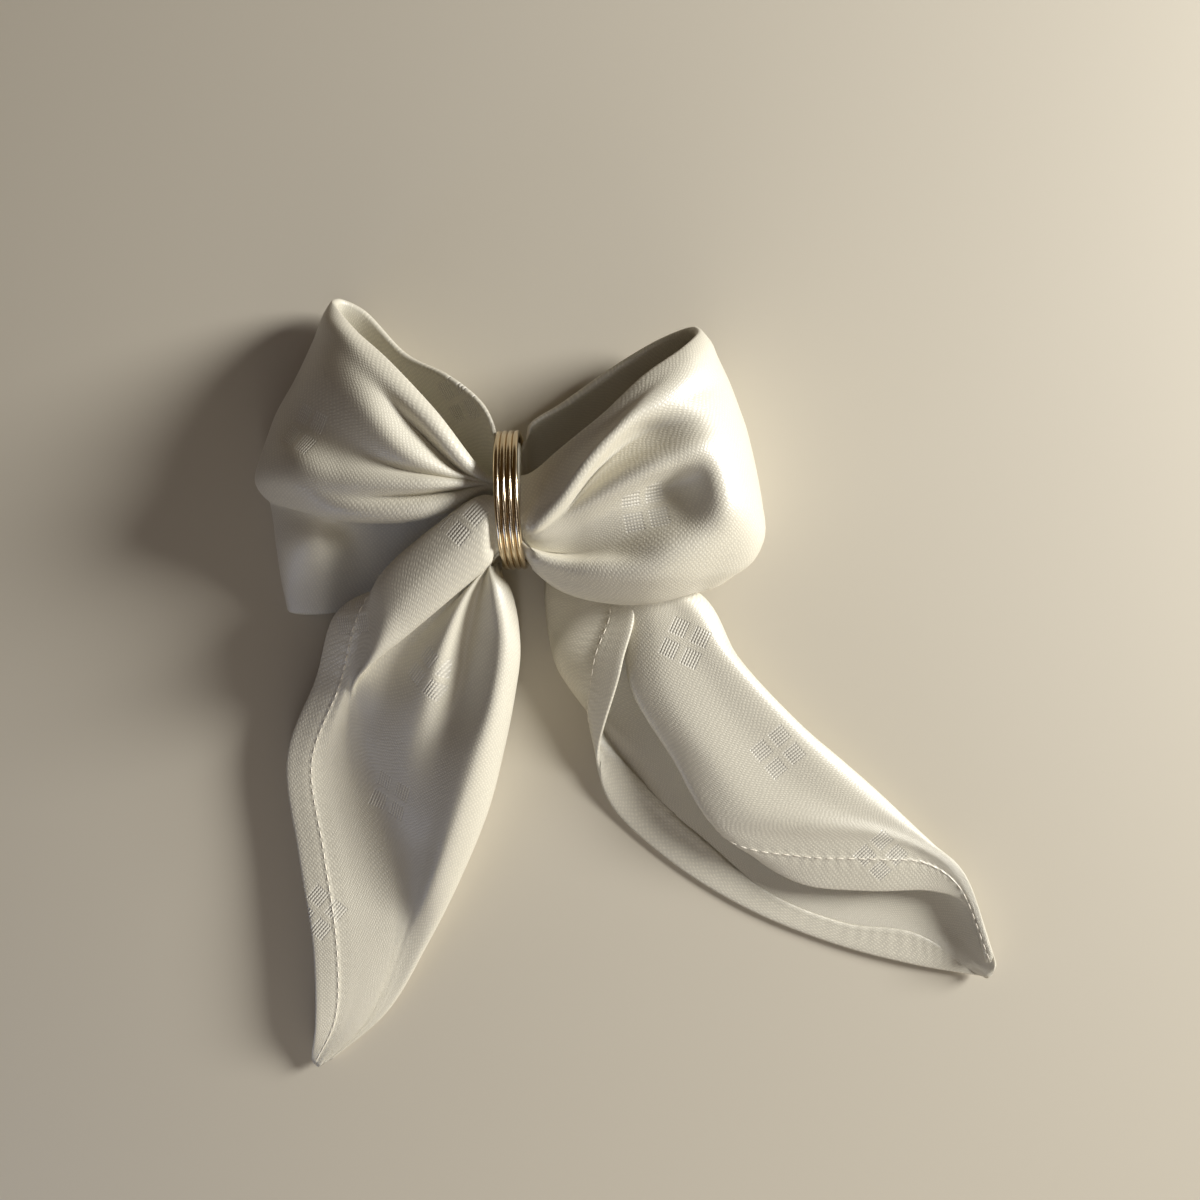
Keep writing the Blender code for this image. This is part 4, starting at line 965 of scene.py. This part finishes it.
meshes = loopSkins("left loop", leftLoopFront, leftLoopBack)
meshes += loopSkins("right loop", rightLoopFront, rightLoopBack)
leftMeshes, leftThreads = tailSkins("left tail", leftTail)
rightMeshes, rightThreads = tailSkins("right tail", rightTail)
meshes += leftMeshes + rightMeshes + [waistSkin()]
napkin = finishPiece("damask_napkin", meshes, damaskCloth)
print("napkin:", len(napkin.data.polygons), "faces")

stitching = finishPiece("hem_stitching", stitchMeshes(leftThreads + rightThreads), sewingThread)
print("stitching:", len(stitching.data.polygons), "faces")

wires = finishPiece("ring_wires", wireMeshes(), giltWire)
print("ring:", len(wires.data.polygons), "faces")

for piece in (napkin, stitching, wires):
    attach(piece, "root")
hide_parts("napkin")
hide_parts("ring")


studio = {
    # metres and watts
    "floor": "C8C0AE",
    "floorHalf": 1.5,
    "floorRough": 0.8,
    "lights": {
        "key": {"at": (0.98, 0.33, 0.42), "wide": 0.4, "long": 0.4, "watts": 22.5,
                "colour": "FCFCFC"},
        "fill": {"at": (-0.5, -0.4, 0.13), "wide": 0.2, "long": 0.2, "watts": 0.42,
                 "colour": "B4CCFF"},
        "south": {"at": (0.1, -0.62, 0.2), "wide": 0.6, "long": 0.35, "watts": 0.95,
                  "colour": "FFF6E6"},
        "strip": {"at": (0.0, -0.3, 0.52), "wide": 0.05, "long": 1.5, "watts": 0.7,
                  "colour": "FAFAFF"},
    },
    "aim": (0.0, 0.0, 0.02),
    "world": "C8964A",
    "worldStrength": 0.075,
}

bm = bmesh.new()
bmesh.ops.create_grid(bm, x_segments=2, y_segments=2, size=studio["floorHalf"])
floorMesh = meshFrom(bm, "floor")
floor = putInScene("floor", floorMesh)
# even and soft, so nothing competes with the satin
matte, matteTree, matteShader = startMaterial("pale matte card")
fillSockets(matteTree, matteShader, {
    "Base Color": linear(studio["floor"]),
    "Roughness": studio["floorRough"],
})
floorMesh.materials.append(matte)

for name, lamp in studio["lights"].items():
    light = bpy.data.lights.new(name, "AREA")
    light.shape = "ELLIPSE"
    light.size = lamp["wide"]
    light.size_y = lamp["long"]
    light.energy = lamp["watts"]
    light.color = linear(lamp["colour"])[:3]
    stand = putInScene(name, light)
    stand.location = lamp["at"]
    way = Vector(studio["aim"]) - Vector(lamp["at"])
    stand.rotation_euler = way.to_track_quat("-Z", "Y").to_euler()

world = bpy.data.worlds.new("studio")
world.use_nodes = True
fillSockets(world.node_tree, world.node_tree.nodes["Background"], {
    "Color": linear(studio["world"]),
    "Strength": studio["worldStrength"],
})
bpy.context.scene.world = world
print("studio:", len(studio["lights"]), "lights")

view = {
    "at": (26.2, -29.1, 285.0),  # mm from the tables' zero, looking straight down
    "lens": 27.15,
    "sensor": 36.0,
    "nearest": 0.01,  # metres
}

lens = bpy.data.cameras.new("camera")
lens.lens = view["lens"]
lens.sensor_width = view["sensor"]
lens.clip_start = view["nearest"]
camera = putInScene("camera", lens)
camera.location = planShift + Vector(view["at"]) * mm
bpy.context.scene.camera = camera
bpy.context.scene.view_settings.view_transform = "Standard"
